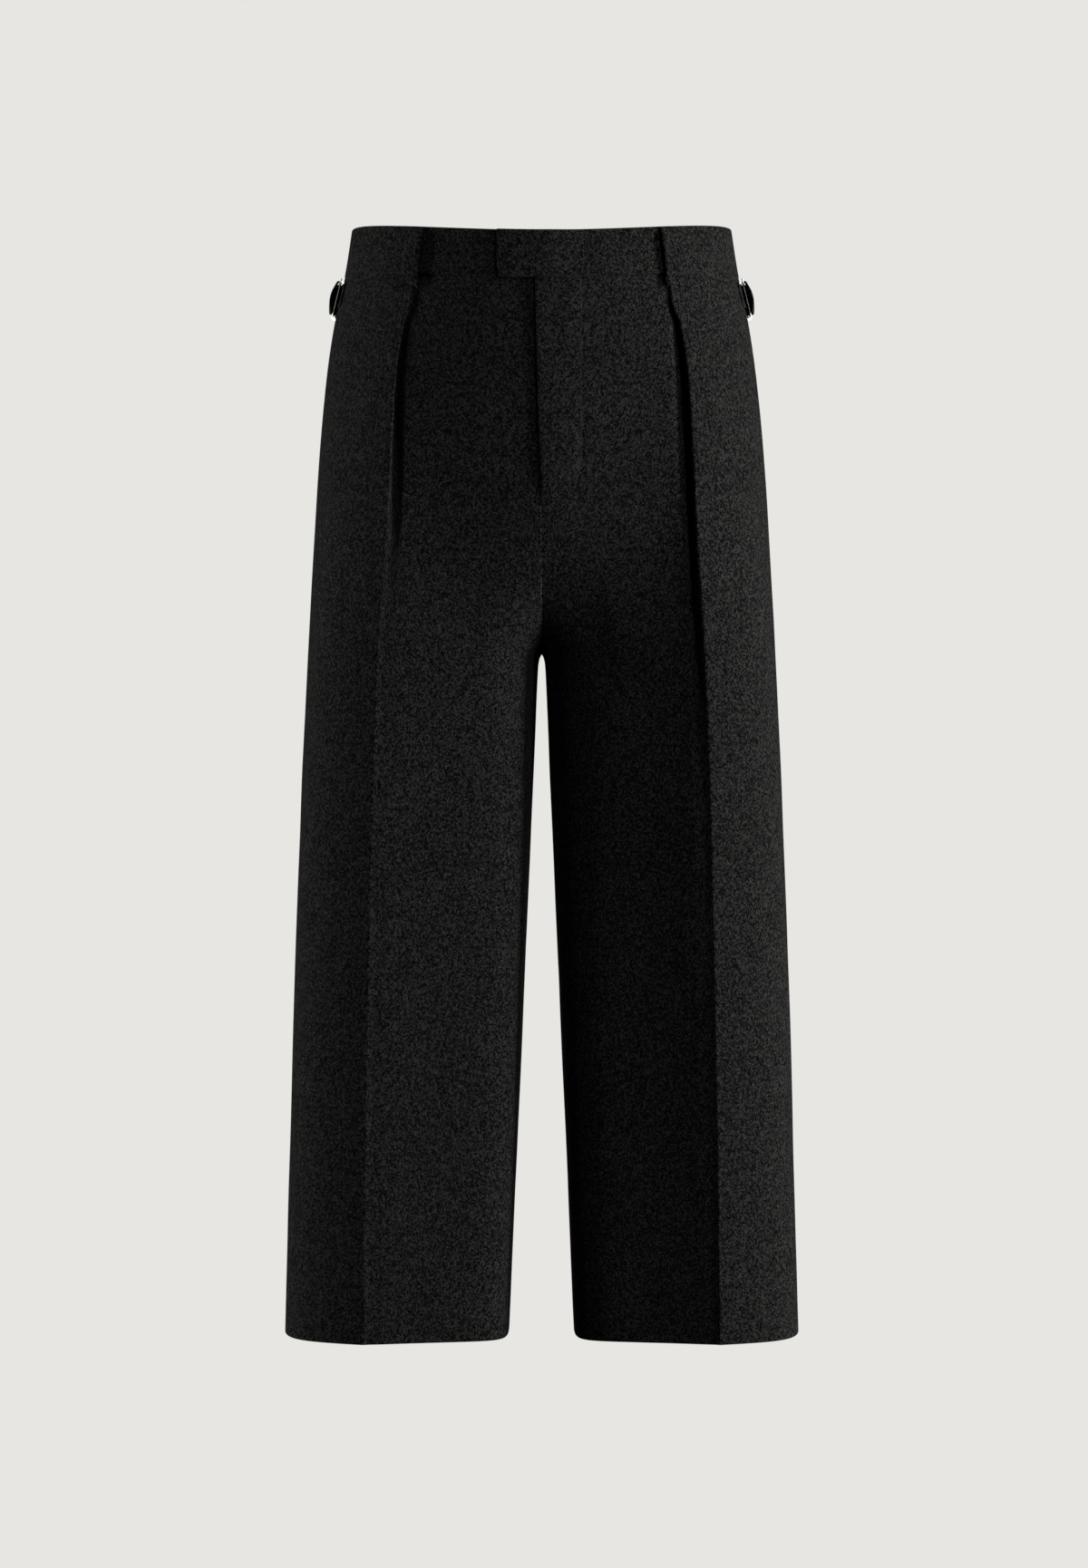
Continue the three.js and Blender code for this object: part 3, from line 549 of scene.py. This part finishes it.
def wool_finish():
    """Black wool crepe: a matt cloth of crimped yarns, seen as a fine dark grain with dull grey flecks."""
    wool = bpy.data.materials.new("black wool crepe")
    wool.use_nodes = True
    tree = wool.node_tree
    tree.nodes.clear()
    where = node(tree, "ShaderNodeUVMap", uv_map="cut").outputs["UV"]
    tall = node(tree, "ShaderNodeVectorMath", {0: where, 1: (1.2, 0.85, 1.0)}, operation="MULTIPLY")
    knots = node(
        tree,
        "ShaderNodeTexVoronoi",
        {"Vector": tall.outputs[0], "Scale": 1 / KNOT_SIZE, "Smoothness": 0.4},
        voronoi_dimensions="2D",
        feature="SMOOTH_F1",
    )
    yarn = node(tree, "ShaderNodeTexNoise", {"Vector": where, "Scale": 1 / YARN_SIZE, "Detail": 3.0})
    cloudy = node(tree, "ShaderNodeTexNoise", {"Vector": where, "Scale": 1 / CLOUD_SIZE, "Detail": 3.0})
    one_knot = node(tree, "ShaderNodeSeparateColor", {"Color": knots.outputs["Color"]})
    blend = node(tree, "ShaderNodeMix", {0: 0.1, 2: one_knot.outputs[0], 3: yarn.outputs["Fac"]})
    fleck = node(tree, "ShaderNodeMath", {0: blend.outputs[0], 1: 1.9}, operation="POWER")
    cloth = node(tree, "ShaderNodeMix", {"Factor": fleck.outputs[0]}, data_type="RGBA")
    cloth.inputs[6].default_value = hex_colour("#030303")
    cloth.inputs[7].default_value = hex_colour("#40403f")
    height = node(tree, "ShaderNodeMath", {0: blend.outputs[0], 1: yarn.outputs["Fac"]}, operation="ADD")
    bump = node(tree, "ShaderNodeBump", {"Height": height.outputs[0], "Distance": 0.0003, "Strength": 1.0})
    rough = node(tree, "ShaderNodeMapRange", {"Value": cloudy.outputs["Fac"], "To Min": 0.82, "To Max": 0.96})
    shader = node(
        tree,
        "ShaderNodeBsdfPrincipled",
        {
            "Base Color": cloth.outputs[2],
            "Roughness": rough.outputs[0],
            "Normal": bump.outputs[0],
            "Specular IOR Level": 0.0,
            "Sheen Weight": 0.04,
            "Sheen Roughness": 0.6,
        },
    )
    node(tree, "ShaderNodeOutputMaterial", {"Surface": shader.outputs[0]})
    return wool


WOOL = wool_finish()


def sewn_in(piece, node_name, cut):
    """The piece is wool and stands for its node. The size and area that its cut covers are worked out, but
    nothing uses them.
    """
    piece.data.materials.append(WOOL)
    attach(piece, "root")
    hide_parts(node_name)
    width, length = np.ptp(cut.reshape(-1, 2), axis=0) * MM
    one, other = cut[1:, 1:] - cut[:-1, :-1], cut[1:, :-1] - cut[:-1, 1:]
    area = abs(one[..., 0] * other[..., 1] - one[..., 1] * other[..., 0]).sum() / 2 * MM**2
    area = min(area, width * length)
    return piece


PLEAT_STARTS = len(AT_SEAM) + CENTRE_COLUMNS + 1
FRONT_CREASE = PLEAT_STARTS + DIP_POINTS + INNER_POINTS + CREASE_POINTS // 2
PLEAT_COLUMNS = (PLEAT_STARTS, PLEAT_STARTS + DIP_POINTS + INNER_POINTS + CREASE_POINTS)
RIGHT_FOLDS = [
    ((30, -235), (100, -215), 16, -1.2),
    ((20, -300), (95, -390), 26, 1.6),
]
points, cut = cloth_panel(
    FRONT_FACE, lambda z: front_line(RIGHT_PLEAT, z), FRONT_CREASE, -1, 3, RIGHT_FOLDS, None, PLEAT_COLUMNS
)
sewn_in(to_mesh("front_right_cloth", points, cut, CLOTH, flip=True), "front_right", cut)


# The left front is cut like the right one, but its pleat stands open and its centre edge carries the fly.
LEFT_PLEAT = table(
    "z valley proud turn deep",
    (-41, 5, 2.6, 180, 18),
    (-62, 6, 2.5, 178, 18),
    (-82, 9.5, 2.4, 166, 17),
    (-99, 12.4, 2.5, 156, 15),
    (-125, 15, 2.8, 148, 13),
    (-164, 16.4, 3, 140, 11.5),
    (-202, 16.4, 3.1, 130, 10),
    (-263, 15.5, 3, 104, 7),
    (-339, 15, 2, 66, 4.4),
    (-420, 15, 0.7, 24, 3),
    (-480, 16, 0, 8, 3),
    (HEM, 16, 0, 8, 3),
)
FLY = table(
    "z edge raised",
    (-40, -5, 2.5), (-120, -3.4, 2.5), (-190, -1, 2.4), (-208, 0, 2.2), (-236, 0, 0), (-260, 0, 0),
    (HEM, 0, 0),
)
FLY_STITCH = 33  # from the centre to the fly's stitching, which turns in to the centre at its foot
FLY_TURNS = -190  # height where it starts to turn
FLY_FOOT = -211.5
FLY_CORNER = 18  # how far across it turns


def fly_line(z):
    line = front_line(LEFT_PLEAT, z)
    reach = -at(FLY, "edge", z)
    if z > CROTCH:
        line[:, 0] -= reach * np.clip(1 - (line[:, 0] - SEAM / 2) / FLY_STITCH, 0, 1)
    return line


def past_stitch(x, z):
    """How far a spot lies outside the fly's stitching, or inside it where less than 0."""
    across = np.maximum(x - FLY_STITCH + FLY_CORNER, 0) / FLY_CORNER
    turn = FLY_TURNS - FLY_FOOT
    down = np.maximum(FLY_TURNS - z, 0) / turn
    scale = (FLY_CORNER * across + turn * down + 1e-6) / (across + down + 1e-6)
    return (np.hypot(across, down) - 1) * scale


def fly_shape(z, lines):
    """The fly's rise: over the other front at its edge, with its doubled cloth ending at the stitching."""
    x = lines[..., 0]
    edge, raised = at(FLY, "edge", z), at(FLY, "raised", z)
    lap = raised * np.clip(1 - (x - edge) / (FLY_STITCH - edge), 0, 1)
    past = past_stitch(x, z)
    under = 0.3 * smooth(-past, 0.2, 1.1) * smooth(z, -222, -208)
    channel = 0.9 * np.exp(-((past / 0.9) ** 2)) * smooth(z, FLY_FOOT - 3, FLY_FOOT - 1)
    drawn = pucker(np.stack([x, z + 0 * x], axis=-1), past, height=0.1, reach=5) * smooth(abs(past), 0.6, 2)
    return lap + under - channel + drawn * smooth(z, FLY_FOOT - 10, FLY_FOOT)


LEFT_FOLDS = [
    ((25, -290), (100, -420), 24, -1.6),
    ((55, -300), (110, -380), 20, 1.2),
]
points, cut = cloth_panel(FRONT_FACE, fly_line, FRONT_CREASE, 1, 7, LEFT_FOLDS, fly_shape, PLEAT_COLUMNS)
left_cloth = to_mesh("front_left_cloth", points, cut, CLOTH)

# The fly's facing is a strip of the same wool, sewn along the edge and turned in behind it.
FACING_WIDE = 30
FACING_IN = 1.25
FACING_CUT_AT = 400  # where its cut lies, beside the front's
facing_rows = np.linspace(TOP + 4, FLY_FOOT - 1, 60)
facing_across = np.array([1.4, 1.9, 2.6, *np.linspace(4, FACING_WIDE, 12)])
facing = []
for z in facing_rows:
    line = fly_line(z)
    spots, out = along_line(line, facing_across)
    raised = fly_shape(z, spots) - FACING_IN - BEHIND_BAND * smooth(z, TOP - 0.7, TOP + 0.5)
    facing.append(placed(FRONT_FACE, spots + out * raised[:, None], z, spots))
facing_cut = np.stack(np.broadcast_arrays(facing_across[None] + FACING_CUT_AT, facing_rows[:, None]), axis=-1)
facing = to_mesh("fly_facing_cloth", np.array(facing), facing_cut, CLOTH)
facing.data.materials.append(WOOL)
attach(facing, "root")


# The thread is black polyester, seen only as fine rounded stitches that lie in the cloth. The fly's stitching
# runs down and turns in to the centre, and a bar tack of close stitches across holds its foot.
def thread_finish():
    """Spun polyester thread: black, with a faint gloss from its fibres."""
    thread = bpy.data.materials.new("black spun polyester thread")
    thread.use_nodes = True
    tree = thread.node_tree
    tree.nodes.clear()
    where = node(tree, "ShaderNodeTexCoord").outputs["Object"]
    fibres = node(tree, "ShaderNodeTexNoise", {"Vector": where, "Scale": 1 / 0.0006, "Detail": 2.0})
    colour = node(tree, "ShaderNodeMix", {"Factor": fibres.outputs["Fac"]}, data_type="RGBA")
    colour.inputs[6].default_value = hex_colour("#101011")
    colour.inputs[7].default_value = hex_colour("#262628")
    rough = node(tree, "ShaderNodeMapRange", {"Value": fibres.outputs["Fac"], "To Min": 0.5, "To Max": 0.7})
    bump = node(tree, "ShaderNodeBump", {"Height": fibres.outputs["Fac"], "Distance": 0.00008})
    shader = node(
        tree,
        "ShaderNodeBsdfPrincipled",
        {"Base Color": colour.outputs[2], "Roughness": rough.outputs[0], "Normal": bump.outputs[0]},
    )
    node(tree, "ShaderNodeOutputMaterial", {"Surface": shader.outputs[0]})
    return thread


THREAD = thread_finish()
THREAD_THICK = 0.45


def seen_on(piece, spots, above=0.0):
    """Places on a piece's front, straight behind spots given by x and height."""
    bpy.context.view_layer.update()
    places = []
    for x, z in spots:
        _, place, normal, _ = piece.ray_cast((x * MM, -1, z * MM), (0, 1, 0))
        places.append(place + normal * above * MM)
    return places


def sewn_line(name, places, pitch, long, wide):
    """A row of stitches along a path: one rounded stitch, repeated and bent along it, long by wide."""
    bpy.ops.object.select_all(action="DESELECT")
    bpy.ops.mesh.primitive_uv_sphere_add(segments=8, ring_count=6, radius=0.5, rotation=(0, math.pi / 2, 0))
    row = bpy.context.object
    row.name = row.data.name = name
    row.scale = (THREAD_THICK * MM, wide * MM, long * MM)
    bpy.ops.object.transform_apply(location=True, rotation=True, scale=True)
    reach = sum((b - a).length for a, b in zip(places, places[1:]))
    repeat = row.modifiers.new("row", "ARRAY")
    repeat.count = int(reach / (pitch * MM))
    repeat.use_relative_offset = False
    repeat.use_constant_offset = True
    repeat.constant_offset_displace = (pitch * MM, 0, 0)
    bpy.ops.object.modifier_apply(modifier=repeat.name)
    guide_curve = bpy.data.curves.new(f"{name}_guide", "CURVE")
    guide_curve.dimensions = "3D"
    path = guide_curve.splines.new("POLY")
    path.points.add(len(places) - 1)
    for point, place in zip(path.points, places):
        point.co = (*place, 1)
    guide = bpy.data.objects.new(guide_curve.name, guide_curve)
    bpy.context.collection.objects.link(guide)
    bend = row.modifiers.new("along", "CURVE")
    bend.object = guide
    bpy.ops.object.modifier_apply(modifier=bend.name)
    bpy.data.objects.remove(guide)
    bpy.ops.object.shade_smooth()
    row.data.materials.append(THREAD)
    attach(row, "root")
    return row


turn = np.linspace(0, math.pi / 2, 14)
down = np.stack([np.full(50, FLY_STITCH), np.linspace(TOP - 2.5, FLY_TURNS, 50, endpoint=False)], axis=1)
corner = (FLY_STITCH - FLY_CORNER, FLY_TURNS) + np.stack(
    [FLY_CORNER * np.cos(turn), (FLY_FOOT - FLY_TURNS) * np.sin(turn)], axis=1
)
fly_stitches = sewn_line("fly_stitches", seen_on(left_cloth, [*down, *corner], 0.1), 2.9, 2.3, THREAD_THICK)
tack = np.linspace((1.2, FLY_FOOT + 0.4), (13.5, FLY_FOOT - 0.2), 12)
bar_tack = sewn_line("fly_bar_tack", seen_on(left_cloth, tack, 0.1), 0.5, 0.5, 2.2)
sewn_in(left_cloth, "front_left", cut)


# The backs: two cut panels of the same wool, plain but for the crease pressed down each leg. They are sewn
# to each other down the centre and to the fronts at the side and inside leg. Their hems turn up the same way.
BACK = table(
    "z centre creaseX crease arrive leave",
    (20, 115, 78, 101, 19, 22),
    (-40, 124, 82, 111, 17, 20),
    (-80, 133, 85, 122, 13, 18),
    (-130, 141, 90, 133.5, 7, 15),
    (-190, 145, 95, 141, 1, 13),
    (-250, 142, 98, 140, -3, 14),
    (-310, 134, 100, 133, -6, 16),
    (-350, 127, 101, 126, -8, 18),
    (-450, 112, 102.5, 110.5, -10, 20),
    (-566, 102, 104, 101, -12, 21),
    (-750, 94, 106, 93, -13, 21),
    (HEM, 88, 108, 87, -13, 21),
)
BACK_FACE = {"rows": BACK, "curve_top": -222, "way": 1, "reach": (0.62, 0.68)}
BACK_CENTRE_COLUMNS, BACK_SIDE_COLUMNS = 40, 44
AT_CREASE = [0, 0.8, 2]


def back_line(z):
    c = corners_of(BACK_FACE, z)
    centre = respaced(centre_run(c, c["crease"], z), AT_SEAM, AT_CREASE, BACK_CENTRE_COLUMNS)[:-1]
    side = respaced(side_run(c, c["crease"], z), AT_CREASE, AT_SEAM, BACK_SIDE_COLUMNS)
    return np.concatenate([centre, side])


BACK_CREASE = len(AT_SEAM) + BACK_CENTRE_COLUMNS + 2
BACK_FOLDS = [
    ((-70, -330), (0, -420), 22, -1.6),
    ((-90, -370), (-10, -500), 26, -1.2),
]
for side, name, seed in ((1, "back_left", 11), (-1, "back_right", 12)):
    points, cut = cloth_panel(BACK_FACE, back_line, BACK_CREASE, side, seed, BACK_FOLDS)
    sewn_in(to_mesh(f"{name}_cloth", points, cut, CLOTH, flip=side > 0), name, cut)


# The waistband: two lengths of the wool, each doubled over a stiff interlining and sewn along the body's top
# edge, that meet at centre back. The left one's front end is a tab with rounded corners, which laps over the
# right one. A short row of pick stitches beside the fly holds its inner layer.
BAND_WALL = 2.4
BAND_IN = 0.2
TAB_END = -37
TAB_RAISED = BAND_WALL + 0.35
TAB_LEVEL = 3
TAB_LIES_DOWN = 34
TAB_CORNER = 4
BAND_BOTTOM = -BAND_HEIGHT + SEAM / 2
BAND_TURNS = 70  # from the centre to where its points follow the round instead of lying even across


@functools.lru_cache(maxsize=None)
def waist_line(way, z):
    """The line of a section with no pleat, from the centre to the side, fine enough to measure on."""
    face = FRONT_FACE if way < 0 else BACK_FACE
    c = corners_of(face, z)
    return np.concatenate([centre_run(c, c["crease"], z)[:-1], side_run(c, c["crease"], z)])


BAND_ROWS = np.array([0, -0.6, -1.4, -2.4, *np.linspace(-4, -36, 20), -37.4, -38.4, -39.2, BAND_BOTTOM])


def waistband(laps, side):
    """The points of one half of the waistband, from its front end round to centre back, and its cut."""
    points, cuts = [], []
    for z in BAND_ROWS:
        front, back = waist_line(-1, z), waist_line(1, z)
        start = SEAM / 2
        if laps:
            above = np.clip(z - BAND_BOTTOM, 0, TAB_CORNER)
            start = TAB_END + TAB_CORNER - math.sqrt(TAB_CORNER**2 - (TAB_CORNER - above) ** 2)
        xs = np.concatenate([start + np.array([0, 0.6, 1.4]), np.linspace(start + 2.4, BAND_TURNS, 42)])
        depth = np.interp(abs(xs), front[:, 0], front[:, 1])
        done = walked(front)
        first = np.interp(BAND_TURNS + 2.5, front[:, 0], done)
        beyond = along_line(front, np.linspace(first, done[-1], 50))[0]
        fore = np.concatenate([np.stack([xs, depth], axis=1), beyond])
        aft = along_line(back, np.linspace(walked(back)[-1] - 2.5, 0, 60))[0]
        raised = TAB_RAISED * smooth(-fore[:, 0], -TAB_LIES_DOWN, -TAB_LEVEL) if laps else 0 * fore[:, 0]
        rows = []
        for face, line, rise in ((FRONT_FACE, fore, raised), (BACK_FACE, aft[::-1], 0 * aft[:, 0])):
            out = ways_out(line[None])[0]
            moved = line + out * (rise - BAND_IN)[:, None]
            rows.append(placed(face, moved, z, line))
        row = np.concatenate([rows[0], rows[1][::-1]])
        points.append(row)
        length = walked(row)
        cuts.append(np.stack([length, 0 * length + z], axis=1))
    points = np.array(points)
    points[..., 0] *= side
    return points, np.array(cuts)


points, cut = waistband(True, 1)
left_band = to_mesh("waistband_left_cloth", points, cut, BAND_WALL, edge=0.8)
picked = np.linspace((34.6, -4.5), (35, -31), 16)
pick_stitches = sewn_line("waistband_pick_stitches", seen_on(left_band, picked), 3.3, 1.9, THREAD_THICK)
sewn_in(left_band, "waistband_left", cut)
points, cut = waistband(False, -1)
right_band = to_mesh("waistband_right_cloth", points, cut, BAND_WALL, edge=0.8, flip=True)
sewn_in(right_band, "waistband_right", cut)


# The belt loops: five strips of the wool, folded to 12 mm and stitched near both edges, which leaves two fine
# ridges. Each is sewn in at the waistband's top edge and gathered into a tack on the body below it.
LOOP_WIDTH = 12
LOOP_WALL = 1.7
LOOP_PATH = table(
    "z off",
    (-0.6, 2), (-3, 2.6), (-6.5, 4.6), (-11, 5.3), (-20, 5.5), (-30, 5.3), (-38, 4.7), (-42.5, 2.9),
    (-45.5, 1.9), (-50, 1.85),
)
LOOP_FOOT = -50
LOOP_GATHERED = 2.5  # the height at its foot over which it is drawn in


def on_waist(way, x, z, off):
    """Places on the waist: x from the centre on one face, standing off the cloth's middle."""
    face = FRONT_FACE if way < 0 else BACK_FACE
    line = waist_line(way, z)
    done = walked(line)
    place, out = along_line(line, np.interp(abs(x), line[:, 0], done))
    turn = np.where(x < 0, -1.0, 1.0)
    place[:, 0] *= turn
    out[:, 0] *= turn
    return placed(face, place + out * off[:, None], z, place)


def belt_loop(way, top, foot):
    rows = np.concatenate([[-0.6, -1.2], np.linspace(-2.2, -48.4, 44), [-49.2, LOOP_FOOT]])
    shares = np.concatenate([[-0.5, -0.48, -0.45], np.linspace(-0.4, 0.4, 9), [0.45, 0.48, 0.5]])
    points = []
    for z in rows:
        centre = mix(top, foot, z / LOOP_FOOT)
        low = max(0, LOOP_FOOT + LOOP_GATHERED - z)
        drawn_in = 2.2 * (low / LOOP_GATHERED) ** 2
        x = centre + shares * (LOOP_WIDTH - 2 * drawn_in * (abs(shares) > 0.4))
        ridges = 0.28 * np.exp(-(((abs(shares) - 0.36) / 0.08) ** 2))
        hollow = 0.25 * np.exp(-((shares / 0.2) ** 2))
        off = at(LOOP_PATH, "off", z) + ridges - hollow
        off = off - 0.5 * smooth(abs(shares), 0.42, 0.5)
        points.append(on_waist(way, x, z, off))
    points = np.array(points)
    cut = np.stack(np.broadcast_arrays(shares[None] * LOOP_WIDTH, rows[:, None]), axis=-1)
    return points, cut


# name, -1 in front or 1 behind, x at the top edge, x at the foot
LOOPS = [
    ("belt_loop_front_left", -1, 104.5, 110.5),
    ("belt_loop_front_right", -1, -104.5, -110.5),
    ("belt_loop_back_left", 1, 92, 95),
    ("belt_loop_back_right", 1, -92, -95),
    ("belt_loop_centre_back", 1, 0, 0),
]
for name, way, top, foot in LOOPS:
    points, cut = belt_loop(way, top, foot)
    loop = to_mesh(f"{name}_cloth", points, cut, LOOP_WALL, edge=0.7, flip=way > 0)
    sewn_in(loop, name, cut)


# The side adjusters' straps and tabs, of doubled wool: a strap runs forward along each hip from behind the
# side seam, up through the buckle, to a rounded tail. A narrow tab sewn to the front holds the middle bar.
ADJUSTER_ROW = -57.5
STRAP_HEIGHT = 25
STRAP_WALL = 1.5
STRAP_ROUNDED = 9
STRAP_PATH = table(
    "along off crown",
    (-78, 1.05, 0), (-24, 1.05, 0), (-17, 1.05, 0), (-12, 1.15, 0), (-9, 2, 0.1), (-6, 4.1, 0.5),
    (-3, 6.4, 1.1), (0, 7.4, 1.5), (5, 7.7, 1.9), (10, 7.9, 2.2), (15, 8.2, 2.7), (19, 8.6, 3.4),
    (23, 9, 4.1), (27, 9.3, 4.7),
)
STRAP_ENDS = 27
TAIL_LONG = 12  # how far before its end the tail starts to round
TAB_HEIGHT = 20
TAB_WALL = 1
# along, off: from where it is sewn down, round the buckle's middle bar and back
TAB_PATH = [
    (34, 0.85), (27, 0.85), (20, 0.85), (13, 0.85), (6, 0.9), (1.2, 1.1), (-1.1, 1.35), (-2, 2.2),
    (-2.05, 3.9), (-1.2, 4.75), (0.9, 4.75), (1.95, 4), (2.5, 3), (4.6, 2.3),
]


def on_hip(along, row, off):
    """Places on the hip: along from the side seam towards the front, standing off the cloth's outer face."""
    points = np.zeros((len(along), 3))
    for way, face, mine in ((-1, FRONT_FACE, along > 0), (1, BACK_FACE, along <= 0)):
        line = waist_line(way, row)
        place, out = along_line(line, walked(line)[-1] - abs(along[mine]))
        points[mine] = placed(face, place + out * (off[mine] + CLOTH / 2)[:, None], row, place)
    return points


def hip_band(along, off, shares, height, tip=0.0, crown=0.0):
    """A band along the hip, with its places on the cut: its tail is rounded by tip and it is crowned."""
    points = []
    for share in shares:
        end = smooth(along, STRAP_ENDS - TAIL_LONG, STRAP_ENDS) * tip * (1 - math.sqrt(1 - 0.9 * share**2))
        points.append(on_hip(along - end, ADJUSTER_ROW + share * height / 2, off - crown * share**2))
    cut = np.stack(np.broadcast_arrays(along[None], shares[:, None] * height / 2), axis=-1)
    return np.array(points), cut


strap_stops = np.concatenate([[-78, -77.4, -76.6], np.linspace(-75, 25, 84), [26, 26.6, STRAP_ENDS]])
strap_off, strap_crown = at(STRAP_PATH, "off", strap_stops), at(STRAP_PATH, "crown", strap_stops)
strap_shares = np.array([-1, -0.97, -0.92, *np.linspace(-0.85, 0.85, 13), 0.92, 0.97, 1])
tab_shares = np.linspace(-1, 1, 9)
for side, sided in ((1, "left"), (-1, "right")):
    points, cut = hip_band(strap_stops, strap_off, strap_shares, STRAP_HEIGHT, STRAP_ROUNDED, strap_crown)
    points[..., 0] *= side
    strap = to_mesh(f"adjuster_strap_{sided}_cloth", points, cut, STRAP_WALL, edge=0.6, flip=side > 0)
    sewn_in(strap, f"adjuster_strap_{sided}", cut)
    stops = np.linspace(0, len(TAB_PATH) - 1, 54)
    fine, fine_off = (np.interp(stops, range(len(TAB_PATH)), column) for column in zip(*TAB_PATH))
    points, _ = hip_band(fine, fine_off, tab_shares, TAB_HEIGHT)
    points[..., 0] *= side
    run = walked(np.stack([fine, fine_off], axis=1))
    cut = np.stack(np.broadcast_arrays(run[None], tab_shares[:, None] * TAB_HEIGHT / 2), axis=-1)
    tab = to_mesh(f"adjuster_tab_{sided}_cloth", points, cut, TAB_WALL, edge=0.35, flip=side < 0)
    sewn_in(tab, f"adjuster_tab_{sided}", cut)


# The adjusters' buckles: a stamped steel frame with a middle bar, barrel polished and nickel plated, which
# leaves its edges round and bright. The tab's loop holds the middle bar.
def nickel_finish():
    """Polished nickel plate: a bright metal with hairline scratches from wear."""
    nickel = bpy.data.materials.new("polished nickel plate on steel")
    nickel.use_nodes = True
    tree = nickel.node_tree
    tree.nodes.clear()
    where = node(tree, "ShaderNodeTexCoord").outputs["Object"]
    drawn = node(tree, "ShaderNodeMapping", {"Vector": where, "Scale": (1.0, 1.0, 14.0)})
    along = drawn.outputs[0]
    scratch = node(tree, "ShaderNodeTexNoise", {"Vector": along, "Scale": 1 / 0.002, "Detail": 3.0})
    cloudy = node(tree, "ShaderNodeTexNoise", {"Vector": where, "Scale": 1 / 0.006, "Detail": 2.0})
    colour = node(tree, "ShaderNodeMix", {"Factor": cloudy.outputs["Fac"]}, data_type="RGBA")
    colour.inputs[6].default_value = hex_colour("#c4c3be")
    colour.inputs[7].default_value = hex_colour("#dddcd8")
    rough = node(tree, "ShaderNodeMapRange", {"Value": scratch.outputs["Fac"], "To Min": 0.14, "To Max": 0.3})
    bump = node(tree, "ShaderNodeBump", {"Height": scratch.outputs["Fac"], "Distance": 0.00002})
    shader = node(
        tree,
        "ShaderNodeBsdfPrincipled",
        {
            "Base Color": colour.outputs[2],
            "Metallic": 1.0,
            "Roughness": rough.outputs[0],
            "Normal": bump.outputs[0],
        },
    )
    node(tree, "ShaderNodeOutputMaterial", {"Surface": shader.outputs[0]})
    return nickel


NICKEL = nickel_finish()
BUCKLE_ACROSS = np.array([-15.1, -12.7, -7, -1.3, 1.3, 7, 12.7, 15.1])
BUCKLE_UP = np.array([-16.1, -13.7, -7, 0, 7, 13.7, 16.1])
BUCKLE_WALL = 1.8
BUCKLE_OFF = 3.1  # from the cloth's outer face to the frame's middle


def buckle():
    """A frame with two windows, given its thickness, rounded all over and laid round the hip."""
    bpy.ops.object.select_all(action="DESELECT")
    columns, rows = len(BUCKLE_ACROSS), len(BUCKLE_UP)
    bpy.ops.mesh.primitive_grid_add(x_subdivisions=columns - 1, y_subdivisions=rows - 1, size=2)
    made = bpy.context.object
    mesh = made.data
    flat = np.stack([*np.meshgrid(BUCKLE_ACROSS, BUCKLE_UP), np.zeros((rows, columns))], axis=-1)
    mesh.vertices.foreach_set("co", flat.ravel())
    bpy.ops.object.mode_set(mode="EDIT")
    bpy.ops.mesh.select_all(action="DESELECT")
    bpy.ops.mesh.select_mode(type="FACE")
    bpy.ops.object.mode_set(mode="OBJECT")
    for face in mesh.polygons:
        x, y = abs(face.center.x), abs(face.center.y)
        face.select = bool(BUCKLE_ACROSS[4] < x < BUCKLE_ACROSS[-2] and y < BUCKLE_UP[-2])
    bpy.ops.object.mode_set(mode="EDIT")
    bpy.ops.mesh.delete(type="FACE")
    bpy.ops.object.mode_set(mode="OBJECT")
    wall = made.modifiers.new("wall", "SOLIDIFY")
    wall.thickness = BUCKLE_WALL
    wall.offset = 0
    bpy.ops.object.modifier_apply(modifier=wall.name)
    soft = made.modifiers.new("polished", "SUBSURF")
    soft.levels = soft.render_levels = 3
    bpy.ops.object.modifier_apply(modifier=soft.name)
    across, up, out = np.array([v.co for v in mesh.vertices]).T
    levels = ADJUSTER_ROW + np.linspace(-18, 18, 19)
    laid = np.array([on_hip(across, level, BUCKLE_OFF + out) for level in levels])
    place = (ADJUSTER_ROW + up - levels[0]) / (levels[1] - levels[0])
    low = place.astype(int)
    every = np.arange(len(up))
    round_hip = mix(laid[low, every], laid[low + 1, every], (place - low)[:, None])
    mesh.vertices.foreach_set("co", (round_hip * MM).astype(np.float32).ravel())
    mesh.flip_normals()
    bpy.ops.object.shade_smooth()
    mesh.materials.append(NICKEL)
    return made


left_buckle = buckle()
bpy.ops.object.duplicate(linked=False)
right_buckle = bpy.context.object
right_buckle.scale = (-1, 1, 1)
bpy.ops.object.transform_apply(location=True, rotation=True, scale=True)
right_buckle.data.flip_normals()
for made, sided in ((left_buckle, "left"), (right_buckle, "right")):
    made.name = made.data.name = f"adjuster_buckle_{sided}_nickel"
    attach(made, "root")
    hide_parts(f"adjuster_buckle_{sided}")
